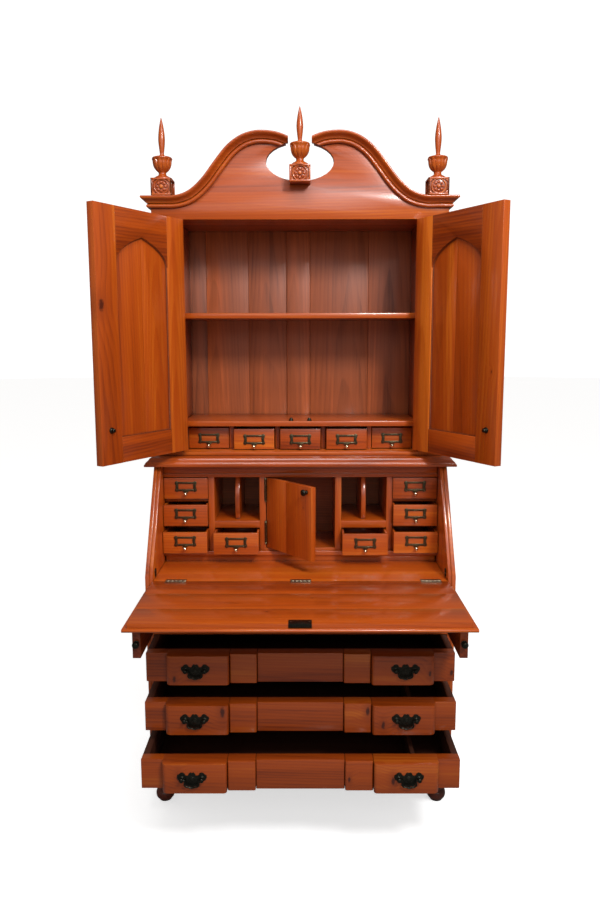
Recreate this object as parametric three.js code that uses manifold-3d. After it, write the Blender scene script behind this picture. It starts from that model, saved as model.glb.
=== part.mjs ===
// A fall-front secretary desk: a chest of three block-front drawers, a writing gallery behind a
// hinged fall, and a two-door bookcase with a broken-arch pediment and three flame finials.
// Millimetres, +Z up, +Y towards the back. The desk stands open: doors swung out, fall down on its
// lopers and drawers part way out. The origin is the middle of the footprint, on the floor.

import * as THREE from "three";
import { mergeVertices } from "three/addons/utils/BufferGeometryUtils.js";
import Module from "manifold-3d";

const wasm = await Module();
wasm.setup();

// ---- driving dimensions -------------------------------------------------------------------

const GAP = 0.3; // glue-line gap left between neighbouring pieces

const CASE_HALF = 480; // lower case, outside
const CASE_SIDE = 23; // thickness of its sides
const CASE_IN = CASE_HALF - CASE_SIDE;
const CASE_BACK = 515;
const BACK_THICK = 10;

const FOOT_HEIGHT = 110;
const FOOT_X = 450;
const FOOT_FRONT_Y = 78;
const FOOT_BACK_Y = 462;
const BASE_TOP = 193;

const DRAWER_PITCH = 136; // opening plus rail
const OPENING_HEIGHT = 91;
const FIRST_OPENING = 239;
const DRAWER_HALF = 455;
const DRAWER_TALL = 89;
const DRAWER_BACK = 478;
const DRAWER_WALL = 19;
const FRONT_THICK = 32;
const BLOCK_OUT = 27; // how far the outer blocks stand forward of the end stiles
const STEP_OUT = 12; // and the narrow blocks beside the centre
const DRAWER_OUT = [140, 175, 250]; // how far each is pulled, top to bottom

const HANDLE_X = 306;
const POST_SPREAD = 28.5;
const POST_RADIUS = 4.5;
const POST_LONG = 14;
const BAIL_ROD = 3;
const BAIL_DROP = 25;
const BAIL_GAP = 1.5; // between each end of the bail and its post

const BED_TOP = 772; // writing height
const BED_THICK = 22;
const NOSE_TOP = 787; // where the sides start to slope
const SLOPE_BACK = 195;
const SLOPE_TOP = 1102;
const HINGE_Y = 5;
const FALL_LONG = 368;
const FALL_HALF = 470;
const FALL_LIP = 9.5;

const LOPER_THICK = 22.5;
const LOPER_TALL = 96;
const LOPER_LONG = 420;
const LOPER_OUT = 300;

const GALLERY_Y = 232;
const GALLERY_BACK = 490;
const LEDGE_TOP = 806;
const GALLERY_TOP = 1058;
const PROSPECT_HALF = 116;
const STILE = 21;
const HOLE_HALF_PAIR = 288; // outer edge of the pigeonholes
const COLUMN_IN = 308; // inner edge of the drawer columns
const SHELF_LOW = 884;
const SHELF_HIGH = 908;
const COLUMN_DRAWER = 71;
const COLUMN_PITCH = 88;
const SMALL_WALL = 7;
const SMALL_FRONT = 12;
const COLUMN_OUT = [48, 27, 5]; // bottom, middle, top
const UNDER_OUT = { left: 58, right: 70 };
const PROSPECT_OPEN = 50; // degrees

const WAIST_TOP = 1130;
const WAIST_OUT = 28;

const UPPER_HALF = 474;
const UPPER_Y = 235;
const DOORWAY_HALF = 393;
const DOORWAY_LOW = 1142;
const DOORWAY_TOP = 1890;
const UPPER_BACK = 505;
const DOOR_THICK = 24;
const DOOR_LOW = 1152;
const DOOR_OPEN = { left: 120, right: 118.5 }; // degrees
const SHELF_Z = 1580;
const ROW_TOP = 1224;
const ROW_Y = 310;
const ROW_DRAWER_HALF = 68;
const ROW_DRAWER_TALL = 70;
const ROW_PITCH = 156;
const ROW_OUT = [0, 30, 30, 30, 0];

const CORNICE_Z = 1925;
const CORNICE_TALL = 35;
const CORNICE_OUT = 28;
const OVAL_Z = 2066;
const OVAL_HALF_WIDE = 107;
const OVAL_HALF_TALL = 58;

const SIDES = [["left", -1], ["right", 1]];

// ---- finishes -----------------------------------------------------------------------------

const FINISHES = {
  varnished: { color: 0xa8521f, roughness: 0.3, metalness: 0 },
  interior: { color: 0x8a4a28, roughness: 0.5, metalness: 0 },
  drawerWood: { color: 0x4a2b1a, roughness: 0.6, metalness: 0 },
  bronze: { color: 0x3d3428, roughness: 0.4, metalness: 0.9 },
};

// ---- shape helpers ------------------------------------------------------------------------

function block(x0, x1, y0, y1, z0, z1) {
  const geometry = new THREE.BoxGeometry(x1 - x0, y1 - y0, z1 - z0);
  return geometry.translate((x0 + x1) / 2, (y0 + y1) / 2, (z0 + z1) / 2);
}

function outline(points) {
  return new THREE.Shape(points.map(([u, v]) => new THREE.Vector2(u, v)));
}

// An outline in X and Y carried up from z0 to z1.
function risen(shape, z0, z1) {
  const geometry = new THREE.ExtrudeGeometry(shape, { depth: z1 - z0, bevelEnabled: false });
  return geometry.translate(0, 0, z0);
}

// An outline in X and Z carried back from y0 to y1.
function carriedBack(shape, y0, y1) {
  const geometry = new THREE.ExtrudeGeometry(shape, { depth: y1 - y0, bevelEnabled: false });
  return geometry.rotateX(Math.PI / 2).translate(0, y1, 0);
}

// An outline in Y and Z carried across from x0 to x1.
function carriedAcross(shape, x0, x1) {
  const geometry = new THREE.ExtrudeGeometry(shape, { depth: x1 - x0, bevelEnabled: false });
  return geometry.rotateX(Math.PI / 2).rotateZ(Math.PI / 2).translate(x0, 0, 0);
}

// A turned piece standing on z = 0, from [radius, height] pairs that start and end on the axis.
function turned(profile, segments) {
  const points = profile.map(([r, z]) => new THREE.Vector2(r, z));
  return new THREE.LatheGeometry(points, segments).rotateX(Math.PI / 2);
}

function solid(geometry) {
  const bare = geometry.clone();
  bare.deleteAttribute("normal");
  bare.deleteAttribute("uv");
  const merged = mergeVertices(bare, 1e-4);
  return new wasm.Manifold(
    new wasm.Mesh({
      numProp: 3,
      vertProperties: new Float32Array(merged.attributes.position.array),
      triVerts: new Uint32Array(merged.index.array),
    })
  );
}

function surface(manifold) {
  const made = manifold.getMesh();
  const geometry = new THREE.BufferGeometry();
  geometry.setAttribute("position", new THREE.BufferAttribute(made.vertProperties, 3));
  geometry.setIndex(new THREE.BufferAttribute(made.triVerts, 1));
  const flat = geometry.toNonIndexed();
  flat.computeVertexNormals();
  return flat;
}

function joined(...geometries) {
  return surface(geometries.map(solid).reduce((sum, next) => sum.add(next)));
}

function cut(geometry, ...holes) {
  return surface(holes.map(solid).reduce((rest, hole) => rest.subtract(hole), solid(geometry)));
}

function mirrored(geometry) {
  const copy = geometry.index ? geometry.toNonIndexed() : geometry.clone();
  const p = copy.attributes.position;
  for (let i = 0; i < p.count; i += 3) {
    const [ax, ay, az] = [p.getX(i), p.getY(i), p.getZ(i)];
    const [bx, by, bz] = [p.getX(i + 1), p.getY(i + 1), p.getZ(i + 1)];
    p.setXYZ(i, -bx, by, bz);
    p.setXYZ(i + 1, -ax, ay, az);
    p.setX(i + 2, -p.getX(i + 2));
  }
  copy.computeVertexNormals();
  return copy;
}

function forSide(sign, geometry) {
  return sign < 0 ? geometry : mirrored(geometry);
}

// A slab whose front and two ends are moulded. Each level is [height, how far it stands out].
function mouldedSlab(half, front, back, levels) {
  const corners = [];
  for (const [z, out] of levels) {
    corners.push([-half - out, front - out, z], [half + out, front - out, z]);
    corners.push([half + out, back, z], [-half - out, back, z]);
  }
  const faces = [[0, 2, 1], [0, 3, 2]];
  for (let i = 0; i + 1 < levels.length; i++) {
    for (let k = 0; k < 4; k++) {
      const a = i * 4 + k;
      const b = i * 4 + ((k + 1) % 4);
      faces.push([a, b, b + 4], [a, b + 4, a + 4]);
    }
  }
  const last = (levels.length - 1) * 4;
  faces.push([last, last + 1, last + 2], [last, last + 2, last + 3]);
  const geometry = new THREE.BufferGeometry();
  geometry.setAttribute("position", new THREE.Float32BufferAttribute(corners.flat(), 3));
  geometry.setIndex(faces.flat());
  return geometry;
}

// ---- the assembly -------------------------------------------------------------------------

const desk = new THREE.Group();
const group = new THREE.Group();
group.add(desk);

function place(name, geometry, finish, parent = desk) {
  const flat = geometry.index ? geometry.toNonIndexed() : geometry;
  flat.computeVertexNormals();
  const mesh = new THREE.Mesh(flat, new THREE.MeshStandardMaterial(FINISHES[finish]));
  mesh.name = name;
  parent.add(mesh);
  return mesh;
}

function movedGroup(x, y, z) {
  const moved = new THREE.Group();
  moved.position.set(x, y, z);
  desk.add(moved);
  return moved;
}

// Feet: a bun on a short waisted neck.
const FOOT_PROFILE = [
  [0, 0], [21, 0], [22.5, 7], [28, 11], [30.5, 20], [29.5, 30], [25, 36], [20.5, 40],
  [18.5, 48], [17, 58], [17, 68], [23, 76], [23, 84], [27, 92], [29, 102],
  [29, FOOT_HEIGHT - GAP], [0, FOOT_HEIGHT - GAP],
];
for (const [side, sign] of SIDES) {
  for (const [end, y] of [["front", FOOT_FRONT_Y], ["back", FOOT_BACK_Y]]) {
    const foot = turned(FOOT_PROFILE, 16).translate(sign * FOOT_X, y, 0);
    place(`foot_${end}_${side}`, foot, "varnished");
  }
}

// Base frame, moulded on three sides and open underneath.
const baseSlab = mouldedSlab(CASE_HALF, 0, CASE_BACK, [
  [FOOT_HEIGHT, 18], [164, 18], [170, 15], [175, 9], [181, 5], [186, 4], [BASE_TOP, 4],
]);
const underBase = block(-400, 400, 90, 425, FOOT_HEIGHT - 5, BASE_TOP - 22);
place("base_frame", cut(baseSlab, underBase), "varnished");

// Lower sides, cut to the slope of the fall, and the lower back.
const sideOutline = outline([
  [0, BASE_TOP + GAP], [CASE_BACK, BASE_TOP + GAP], [CASE_BACK, SLOPE_TOP],
  [SLOPE_BACK, SLOPE_TOP], [0, NOSE_TOP],
]);
for (const [side, sign] of SIDES) {
  const board = carriedAcross(sideOutline, -CASE_HALF, -CASE_IN);
  place(`lower_side_${side}`, forSide(sign, board), "varnished");
}
const innerHalf = CASE_IN - GAP;
const backFront = CASE_BACK - BACK_THICK;
place(
  "lower_back",
  block(-innerHalf, innerHalf, backFront, CASE_BACK, BASE_TOP + GAP, SLOPE_TOP),
  "interior"
);

// Front rails, each with the dust board that its drawer slides on.
const DUST = 12;
const railOutline = (low, high) => outline([
  [0, low], [30, low], [30, high - DUST], [backFront - GAP, high - DUST],
  [backFront - GAP, high], [0, high],
]);
const openingLow = (row) => FIRST_OPENING + (2 - row) * DRAWER_PITCH; // row 0 is the top drawer
for (const [row, name] of [[2, "rail_bottom"], [1, "rail_lower"], [0, "rail_upper"]]) {
  const high = openingLow(row);
  const low = row === 2 ? BASE_TOP + GAP : openingLow(row + 1) + OPENING_HEIGHT;
  place(name, carriedAcross(railOutline(low, high), -innerHalf, innerHalf), "varnished");
}

// Frieze above the top drawer, slotted for the two lopers, with the runners they slide on.
const friezeLow = openingLow(0) + OPENING_HEIGHT;
const friezeTop = BED_TOP - BED_THICK - GAP;
const loperLow = friezeTop - GAP - LOPER_TALL;
const slotIn = CASE_IN - LOPER_THICK - 2.5;
const friezeBoards = joined(
  block(-innerHalf, innerHalf, 0, 26, friezeLow, friezeTop),
  block(-innerHalf, innerHalf, 20, backFront - GAP, friezeLow, friezeLow + DUST),
  block(-slotIn, -slotIn + 8, 20, backFront - GAP, friezeLow + 5, friezeTop),
  block(slotIn - 8, slotIn, 20, backFront - GAP, friezeLow + 5, friezeTop),
  block(-innerHalf, -slotIn + 4, 20, backFront - GAP, loperLow - 14, loperLow - GAP),
  block(slotIn - 4, innerHalf, 20, backFront - GAP, loperLow - 14, loperLow - GAP)
);
const loperSlots = [-1, 1].map((sign) =>
  block(
    Math.min(sign * slotIn, sign * 500), Math.max(sign * slotIn, sign * 500),
    -10, backFront - 30, loperLow - GAP, 800
  )
);
place("frieze", cut(friezeBoards, ...loperSlots), "varnished");

// Lopers, drawn out under the fall, each with a small turned knob.
const knobProfile = [[0, 0], [4, 0], [3.5, 5], [8, 9], [9.5, 13], [7.5, 17], [0, 18.5]];
for (const [side, sign] of SIDES) {
  const outer = -CASE_IN + 1;
  const bar = block(outer, outer + LOPER_THICK, 0, LOPER_LONG, loperLow, loperLow + LOPER_TALL);
  const knob = turned(knobProfile, 12).rotateX(Math.PI / 2);
  knob.translate(outer + LOPER_THICK / 2, 0.5, loperLow + 42);
  place(`loper_${side}`, forSide(sign, joined(bar, knob)), "varnished", movedGroup(0, -LOPER_OUT, 0));
}

// Writing bed.
place(
  "writing_bed",
  block(-innerHalf, innerHalf, HINGE_Y + 0.4, backFront - GAP, BED_TOP - BED_THICK, BED_TOP - GAP),
  "varnished"
);

// Fall, lying open. Its lips overlap the sloping edges of the sides when it is closed.
const fallFront = HINGE_Y - FALL_LONG;
const fallLow = BED_TOP - BED_THICK;
place(
  "fall",
  joined(
    block(-innerHalf, innerHalf, fallFront + 10, HINGE_Y, fallLow, BED_TOP),
    block(-FALL_HALF, FALL_HALF, fallFront, HINGE_Y - 12, fallLow, fallLow + FALL_LIP)
  ),
  "varnished"
);

// Block-front drawers: a shaped front board with handle posts, and the open box behind it.
const frontHalf = [
  [0, -2], [122, -2], [127, -4], [130, -STEP_OUT], [205, -STEP_OUT], [208, -15], [210, -23],
  [216, -BLOCK_OUT], [384, -BLOCK_OUT], [390, -23], [392, -12], [393, 0], [DRAWER_HALF, 0],
  [DRAWER_HALF, FRONT_THICK],
];
const frontOutline = outline([
  ...frontHalf,
  ...frontHalf.slice(1).reverse().map(([x, y]) => [-x, y]),
]);
const bailPath = new THREE.CatmullRomCurve3(
  [
    [-POST_SPREAD + POST_RADIUS + BAIL_GAP, 0], [-19.5, -1.5], [-18.5, -7], [-20.5, -15],
    [-13, -22.5], [0, -BAIL_DROP], [13, -22.5], [20.5, -15], [18.5, -7], [19.5, -1.5],
    [POST_SPREAD - POST_RADIUS - BAIL_GAP, 0],
  ].map(([x, z]) => new THREE.Vector3(x, 0, z))
);
const rodOutline = outline(
  Array.from({ length: 8 }, (_, i) => [
    BAIL_ROD * Math.cos((i * Math.PI) / 4),
    BAIL_ROD * Math.sin((i * Math.PI) / 4),
  ])
);
const bailRod = new THREE.ExtrudeGeometry(rodOutline, {
  steps: 22,
  bevelEnabled: false,
  extrudePath: bailPath,
});
for (let row = 0; row < 3; row++) {
  const name = `drawer_${row + 1}`;
  const low = openingLow(row) + 1;
  const high = low + DRAWER_TALL;
  const middle = (low + high) / 2;
  const pulled = movedGroup(0, -DRAWER_OUT[row], 0);
  const posts = [];
  for (const sign of [-1, 1]) {
    for (const end of [-1, 1]) {
      const post = new THREE.CylinderGeometry(POST_RADIUS, POST_RADIUS, POST_LONG + 2, 12);
      const x = sign * HANDLE_X + end * POST_SPREAD;
      posts.push(post.translate(x, -BLOCK_OUT - POST_LONG / 2 + 1, middle + 3));
    }
  }
  place(`${name}_front`, joined(risen(frontOutline, low, high), ...posts), "varnished", pulled);
  const shell = block(-DRAWER_HALF, DRAWER_HALF, FRONT_THICK + GAP, DRAWER_BACK, low, high - 1);
  const hollow = block(
    -DRAWER_HALF + DRAWER_WALL, DRAWER_HALF - DRAWER_WALL,
    FRONT_THICK - 10, DRAWER_BACK - 14, low + 12, high + 10
  );
  place(`${name}_box`, cut(shell, hollow), "drawerWood", pulled);
  for (const [side, sign] of SIDES) {
    const bail = bailRod.clone().translate(sign * HANDLE_X, -BLOCK_OUT - 9, middle + 3);
    place(`${name}_bail_${side}`, bail, "bronze", pulled);
  }
}

// Gallery: ledge, uprights, shelves, pigeonhole dividers and top rail, glued up as one piece.
const dividerOutline = outline([
  [262, SHELF_HIGH - 4], [250, 930], [246, 955], [247, 985], [254, 1015], [268, 1040],
  [278, GALLERY_TOP + 4],
  [GALLERY_BACK, GALLERY_TOP + 4], [GALLERY_BACK, SHELF_HIGH - 4],
]);
const galleryBoards = [
  mouldedSlab(innerHalf - 4, GALLERY_Y - 8, GALLERY_BACK, [
    [BED_TOP, 0], [788, 0], [792, 2], [797, 4], [LEDGE_TOP, 4],
  ]),
  block(-innerHalf, innerHalf, GALLERY_Y, GALLERY_BACK, GALLERY_TOP, GALLERY_TOP + 16),
  block(-innerHalf, innerHalf, GALLERY_Y - 4, GALLERY_Y + 14, GALLERY_TOP, GALLERY_TOP + 42),
  block(
    -PROSPECT_HALF - 2, PROSPECT_HALF + 2, GALLERY_Y, GALLERY_Y + 16, LEDGE_TOP - 5, LEDGE_TOP + 9
  ),
];
function galleryBoard(x0, x1, z0, z1, y0 = GALLERY_Y) {
  return block(x0, x1, y0, GALLERY_BACK, z0, z1);
}
for (const sign of [-1, 1]) {
  const boards = [
    galleryBoard(-PROSPECT_HALF - STILE, -PROSPECT_HALF, LEDGE_TOP - 5, GALLERY_TOP + 5),
    galleryBoard(-COLUMN_IN, -HOLE_HALF_PAIR, LEDGE_TOP - 5, GALLERY_TOP + 5),
    galleryBoard(-HOLE_HALF_PAIR - 5, -PROSPECT_HALF - STILE + 5, SHELF_LOW, SHELF_HIGH),
    carriedAcross(dividerOutline, -220, -205),
  ];
  for (let i = 1; i < 3; i++) {
    const high = LEDGE_TOP + 2 + i * COLUMN_PITCH;
    boards.push(galleryBoard(-innerHalf, -COLUMN_IN + 5, high - 13, high, GALLERY_Y + 18));
  }
  galleryBoards.push(...boards.map((board) => forSide(sign, board)));
}
place("gallery", joined(...galleryBoards), "varnished");

// A small open drawer: front and box in one, its front face at y = 0.
function smallDrawer(x0, x1, z0, z1, depth) {
  const shell = block(x0, x1, 0, depth, z0, z1);
  const [left, right] = [x0 + SMALL_WALL, x1 - SMALL_WALL];
  const hollow = block(left, right, SMALL_FRONT, depth - SMALL_WALL, z0 + 5, z1 + 10);
  return cut(shell, hollow);
}
const smallDepth = GALLERY_BACK - GALLERY_Y - 20;
for (const [side, sign] of SIDES) {
  ["low", "middle", "high"].forEach((level, i) => {
    const z = LEDGE_TOP + 3 + i * COLUMN_PITCH;
    const drawer = smallDrawer(-CASE_IN + 1.5, -COLUMN_IN - 1, z, z + COLUMN_DRAWER, smallDepth);
    const pulled = movedGroup(0, GALLERY_Y - COLUMN_OUT[i], 0);
    place(`column_drawer_${side}_${level}`, forSide(sign, drawer), "varnished", pulled);
  });
  const z = LEDGE_TOP + 2;
  const under = smallDrawer(
    -HOLE_HALF_PAIR + 1, -PROSPECT_HALF - STILE - 1, z, z + COLUMN_DRAWER + 1, smallDepth
  );
  const pulled = movedGroup(0, GALLERY_Y - UNDER_OUT[side], 0);
  place(`under_drawer_${side}`, forSide(sign, under), "varnished", pulled);
}

// Prospect door between the pigeonholes, hung on the left and standing ajar.
const prospectPivot = movedGroup(-PROSPECT_HALF, GALLERY_Y - 3, 0);
prospectPivot.rotation.z = THREE.MathUtils.degToRad(-PROSPECT_OPEN);
place(
  "prospect_door",
  block(1.5, 2 * PROSPECT_HALF - 1.5, 3, 21, LEDGE_TOP + 12, GALLERY_TOP - 2),
  "varnished",
  prospectPivot
);

// Waist moulding: the moulded top of the desk.
place(
  "waist_moulding",
  mouldedSlab(CASE_HALF, SLOPE_BACK, CASE_BACK, [
    [SLOPE_TOP + GAP, 5], [1106, 6], [1109, 10], [1113, 18], [1118, 22], [1121, 27],
    [1126, WAIST_OUT], [WAIST_TOP, WAIST_OUT - 2],
  ]),
  "varnished"
);

// Bookcase: each side is an outer board, a front stile and an inner lining.
const upperSideOutline = outline([
  [-UPPER_HALF, UPPER_Y], [-DOORWAY_HALF, UPPER_Y], [-DOORWAY_HALF, UPPER_BACK],
  [-DOORWAY_HALF - 18, UPPER_BACK], [-DOORWAY_HALF - 18, UPPER_Y + 22],
  [-UPPER_HALF + 22, UPPER_Y + 22], [-UPPER_HALF + 22, UPPER_BACK], [-UPPER_HALF, UPPER_BACK],
]);
for (const [side, sign] of SIDES) {
  const board = joined(
    risen(upperSideOutline, WAIST_TOP + GAP, DOORWAY_TOP),
    block(
      -UPPER_HALF, -UPPER_HALF + 22, UPPER_Y + 22 + GAP, UPPER_BACK,
      DOORWAY_TOP - 5, CORNICE_Z + CORNICE_TALL - 1
    )
  );
  place(`upper_side_${side}`, forSide(sign, board), "varnished");
}
const topHalf = UPPER_HALF - 22 - GAP;
const lined = DOORWAY_HALF - GAP;
place(
  "upper_top",
  block(-topHalf, topHalf, UPPER_Y + 22 + GAP, UPPER_BACK, DOORWAY_TOP + GAP, DOORWAY_TOP + 18),
  "varnished"
);
place(
  "upper_back",
  block(-UPPER_HALF, UPPER_HALF, UPPER_BACK + GAP, CASE_BACK, WAIST_TOP + GAP, DOORWAY_TOP + 18),
  "interior"
);
place(
  "upper_shelf",
  block(-lined, lined, UPPER_Y + 30, UPPER_BACK - GAP, SHELF_Z, SHELF_Z + 18),
  "varnished"
);

// Row of five compartments at the foot of the bookcase.
const rowBoards = [
  block(-lined, lined, UPPER_Y, UPPER_BACK - GAP, WAIST_TOP + GAP, DOORWAY_LOW),
  block(-lined, lined, UPPER_Y + 28, UPPER_BACK - GAP, ROW_TOP, ROW_TOP + 18),
];
for (let i = 0; i < 6; i++) {
  const x = (i - 2.5) * ROW_PITCH;
  const left = Math.max(x - 8, -lined);
  const right = Math.min(x + 8, lined);
  rowBoards.push(block(left, right, ROW_Y, UPPER_BACK - GAP, DOORWAY_LOW - 4, ROW_TOP + 4));
}
place("drawer_row_case", joined(...rowBoards), "varnished");
for (let i = 0; i < 5; i++) {
  const x = (i - 2) * ROW_PITCH;
  const low = DOORWAY_LOW + 2;
  const drawer = smallDrawer(
    x - ROW_DRAWER_HALF, x + ROW_DRAWER_HALF, low, low + ROW_DRAWER_TALL, UPPER_BACK - ROW_Y - 20
  );
  place(`row_drawer_${i + 1}`, drawer, "varnished", movedGroup(0, ROW_Y - ROW_OUT[i], 0));
}

// Bookcase doors: a frame with a pointed-arch opening and a flat panel sunk in it.
const doorWide = DOORWAY_HALF - 2.5;
function archOutline(inset) {
  const [low, spring, peak] = [1228 + inset, 1732, 1811 - inset];
  const [near, far] = [82 + inset, 306 - inset];
  const mid = (near + far) / 2;
  const shape = new THREE.Path();
  shape.moveTo(near, low);
  shape.lineTo(far, low);
  shape.lineTo(far, spring);
  shape.bezierCurveTo(far, spring + 38, mid + 42, peak - 12, mid, peak);
  shape.bezierCurveTo(mid - 42, peak - 12, near, spring + 38, near, spring);
  return shape;
}
const doorFrameOutline = outline([
  [0.8, DOOR_LOW], [doorWide, DOOR_LOW], [doorWide, DOORWAY_TOP - 2], [0.8, DOORWAY_TOP - 2],
]);
doorFrameOutline.holes.push(archOutline(0));
const doorPanelOutline = new THREE.Shape(archOutline(0.5).getPoints(8));
for (const [side, sign] of SIDES) {
  const pivot = movedGroup(sign * (DOORWAY_HALF - 0.5), UPPER_Y - 3, 0);
  pivot.rotation.z = THREE.MathUtils.degToRad(sign * DOOR_OPEN[side]);
  const settings = { depth: DOOR_THICK, bevelEnabled: false, curveSegments: 8 };
  const frame = new THREE.ExtrudeGeometry(doorFrameOutline, settings);
  frame.rotateX(Math.PI / 2).translate(0, 3 + DOOR_THICK, 0);
  place(`door_frame_${side}`, forSide(sign, frame), "varnished", pivot);
  const panel = carriedBack(doorPanelOutline, 10, 20);
  place(`door_panel_${side}`, forSide(sign, panel), "varnished", pivot);
}

// Pediment: a board with a swan-neck top and an oval opening, faced by two swan-neck mouldings.
const neckPath = new THREE.CatmullRomCurve3(
  [
    [-512, CORNICE_Z], [-474, CORNICE_Z], [-435, CORNICE_Z], [-402, CORNICE_Z],
    [-368, 1931], [-336, 1944], [-305, 1967], [-275, 1998], [-242, 2041],
    [-207, 2083], [-173, 2108], [-140, 2119],
    [-110, 2120], [-80, 2116], [-52, 2106], [-24, 2092],
  ].map(([x, z]) => new THREE.Vector3(x, 0, z)),
  false,
  "centripetal"
);
function neckPoint(t, rise) {
  const p = neckPath.getPointAt(t);
  const d = neckPath.getTangentAt(t);
  return [p.x - d.z * rise, p.z + d.x * rise];
}
const boardEdge = [];
for (let i = 0; i <= 30; i++) {
  const [x, z] = neckPoint(i / 30, CORNICE_TALL - 1);
  if (x > -UPPER_HALF + 4 && x < -44) boardEdge.push([x, z]);
}
const leftEdge = [
  [-UPPER_HALF, DOORWAY_TOP + GAP], [-UPPER_HALF, CORNICE_Z + CORNICE_TALL - 1],
  ...boardEdge, [-40, OVAL_Z],
];
const boardOutline = outline([
  ...leftEdge,
  ...leftEdge.slice().reverse().map(([x, z]) => [-x, z]),
]);
const ovalShape = new THREE.Shape();
ovalShape.absellipse(0, OVAL_Z, OVAL_HALF_WIDE, OVAL_HALF_TALL, 0, Math.PI * 2);
const ovalSettings = { depth: 200, bevelEnabled: false, curveSegments: 14 };
const oval = new THREE.ExtrudeGeometry(ovalShape, ovalSettings);
oval.rotateX(Math.PI / 2).translate(0, UPPER_Y + 100, 0);
place(
  "pediment_board",
  cut(carriedBack(boardOutline, UPPER_Y, UPPER_Y + 22), oval),
  "varnished"
);

// Moulding section: [height above its lower edge, how far it stands out].
const CORNICE_SECTION = [
  [0, 0], [0, 5], [3, 9], [7, 10], [10, 8], [12, 6], [14, 12], [18, 19], [23, 24], [29, CORNICE_OUT],
  [CORNICE_TALL, CORNICE_OUT], [CORNICE_TALL, 0],
];
const corniceY = UPPER_Y - GAP;
const sectionOutline = outline(CORNICE_SECTION.map(([rise, out]) => [-rise, -out]));
function corniceCutter(towardsFront) {
  const cutter = new THREE.BoxGeometry(600, 600, 600);
  cutter.translate(towardsFront ? 300 : -300, 0, CORNICE_Z);
  return cutter.rotateZ(-Math.PI / 4).translate(-UPPER_HALF - GAP, corniceY, 0);
}
const neckRun = new THREE.ExtrudeGeometry(sectionOutline, {
  steps: 40,
  bevelEnabled: false,
  extrudePath: neckPath,
});
const returnOutline = outline(
  CORNICE_SECTION.map(([rise, out]) => [-UPPER_HALF - GAP - out, CORNICE_Z + rise])
);
const sideRun = carriedBack(returnOutline, UPPER_Y - 60, UPPER_BACK);
const pastEnd = block(-37, 100, 0, 400, 1900, 2300);
const neckFront = cut(neckRun.translate(0, corniceY, 0), corniceCutter(false), oval, pastEnd);
const swanNeck = joined(neckFront, cut(sideRun, corniceCutter(true)));
for (const [side, sign] of SIDES) {
  place(`swan_neck_${side}`, forSide(sign, swanNeck), "varnished");
}

// Finials: a carved block with a domed top, a waisted neck, an urn and a slender flame.
const BLOCK_HALF = 33;
const URN_PROFILE = [
  [0, -4], [26, -4], [28, 0], [27, 3], [22, 7.5], [15, 11], [12, 15], [12, 19], [14, 23],
  [20, 29], [24, 37], [26.5, 46], [27.5, 54], [30.5, 60], [31, 63], [29, 67], [16, 70],
];
const FLAME_TALL = 98;
const FLAME_PROFILE = [
  [8, 2], [6.5, 5], [7.5, 12], [9.5, 26], [10.6, 42], [9.3, 58], [6.2, 76], [3, 89],
];
function finial(x, y, blockLow, blockHigh, blockDeep, flameTall) {
  const base = block(
    x - BLOCK_HALF, x + BLOCK_HALF, y - blockDeep / 2, y + blockDeep / 2, blockLow, blockHigh
  );
  const flame = FLAME_PROFILE.map(([r, z]) => [r, 72 + (z - 2) * flameTall / (FLAME_TALL - 2)]);
  const profile = [...URN_PROFILE, ...flame, [0, 72 + flameTall]];
  return joined(base, turned(profile, 16).translate(x, y, blockHigh));
}
place("finial_centre", finial(0, UPPER_Y - GAP - 24, 1997, 2055, 48, FLAME_TALL), "varnished");
for (const [side, sign] of SIDES) {
  const low = CORNICE_Z + CORNICE_TALL + 2 * GAP;
  const corner = finial(
    sign * 435, UPPER_Y + 6, low, low + 57, 2 * BLOCK_HALF, FLAME_TALL + 13
  );
  place(`finial_${side}`, corner, "varnished");
}

// The origin goes to the middle of the footprint, on the floor.
const span = new THREE.Box3().setFromObject(desk);
const middle = span.getCenter(new THREE.Vector3());
desk.position.set(-middle.x, -middle.y, -span.min.z);

export default group;
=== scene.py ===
"""A fall-front secretary desk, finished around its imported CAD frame.

Lengths are millimetres from the middle of the case's front edge at floor level, +X to the right,
+Y towards the back and +Z up, until a piece is put in place in the frame's metres.
"""

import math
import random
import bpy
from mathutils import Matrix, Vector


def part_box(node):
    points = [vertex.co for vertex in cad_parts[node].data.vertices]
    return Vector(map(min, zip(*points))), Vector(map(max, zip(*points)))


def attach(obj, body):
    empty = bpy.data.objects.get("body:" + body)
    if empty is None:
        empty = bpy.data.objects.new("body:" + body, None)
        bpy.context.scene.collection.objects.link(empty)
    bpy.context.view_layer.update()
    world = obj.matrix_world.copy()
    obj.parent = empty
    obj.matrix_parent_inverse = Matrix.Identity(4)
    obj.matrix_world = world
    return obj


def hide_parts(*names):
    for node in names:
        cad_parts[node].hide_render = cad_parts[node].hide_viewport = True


bl_info = {
    "name": "Fall-front secretary desk",
    "version": (1, 0, 0),
    "blender": (4, 5, 0),
    "location": "3D View > Sidebar > Secretary",
    "description": "Builds a varnished secretary desk with bronze and brass fittings",
    "category": "Add Mesh",
}

import bmesh
import bpy
from mathutils import Matrix, Vector

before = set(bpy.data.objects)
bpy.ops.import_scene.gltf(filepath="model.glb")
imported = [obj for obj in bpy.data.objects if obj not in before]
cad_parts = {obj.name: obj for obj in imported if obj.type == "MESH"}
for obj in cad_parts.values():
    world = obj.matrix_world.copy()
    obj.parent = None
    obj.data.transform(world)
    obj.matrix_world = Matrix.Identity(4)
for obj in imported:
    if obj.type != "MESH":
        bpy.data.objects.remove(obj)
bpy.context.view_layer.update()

# ---- places taken from the frame -------------------------------------------------------------

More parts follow.
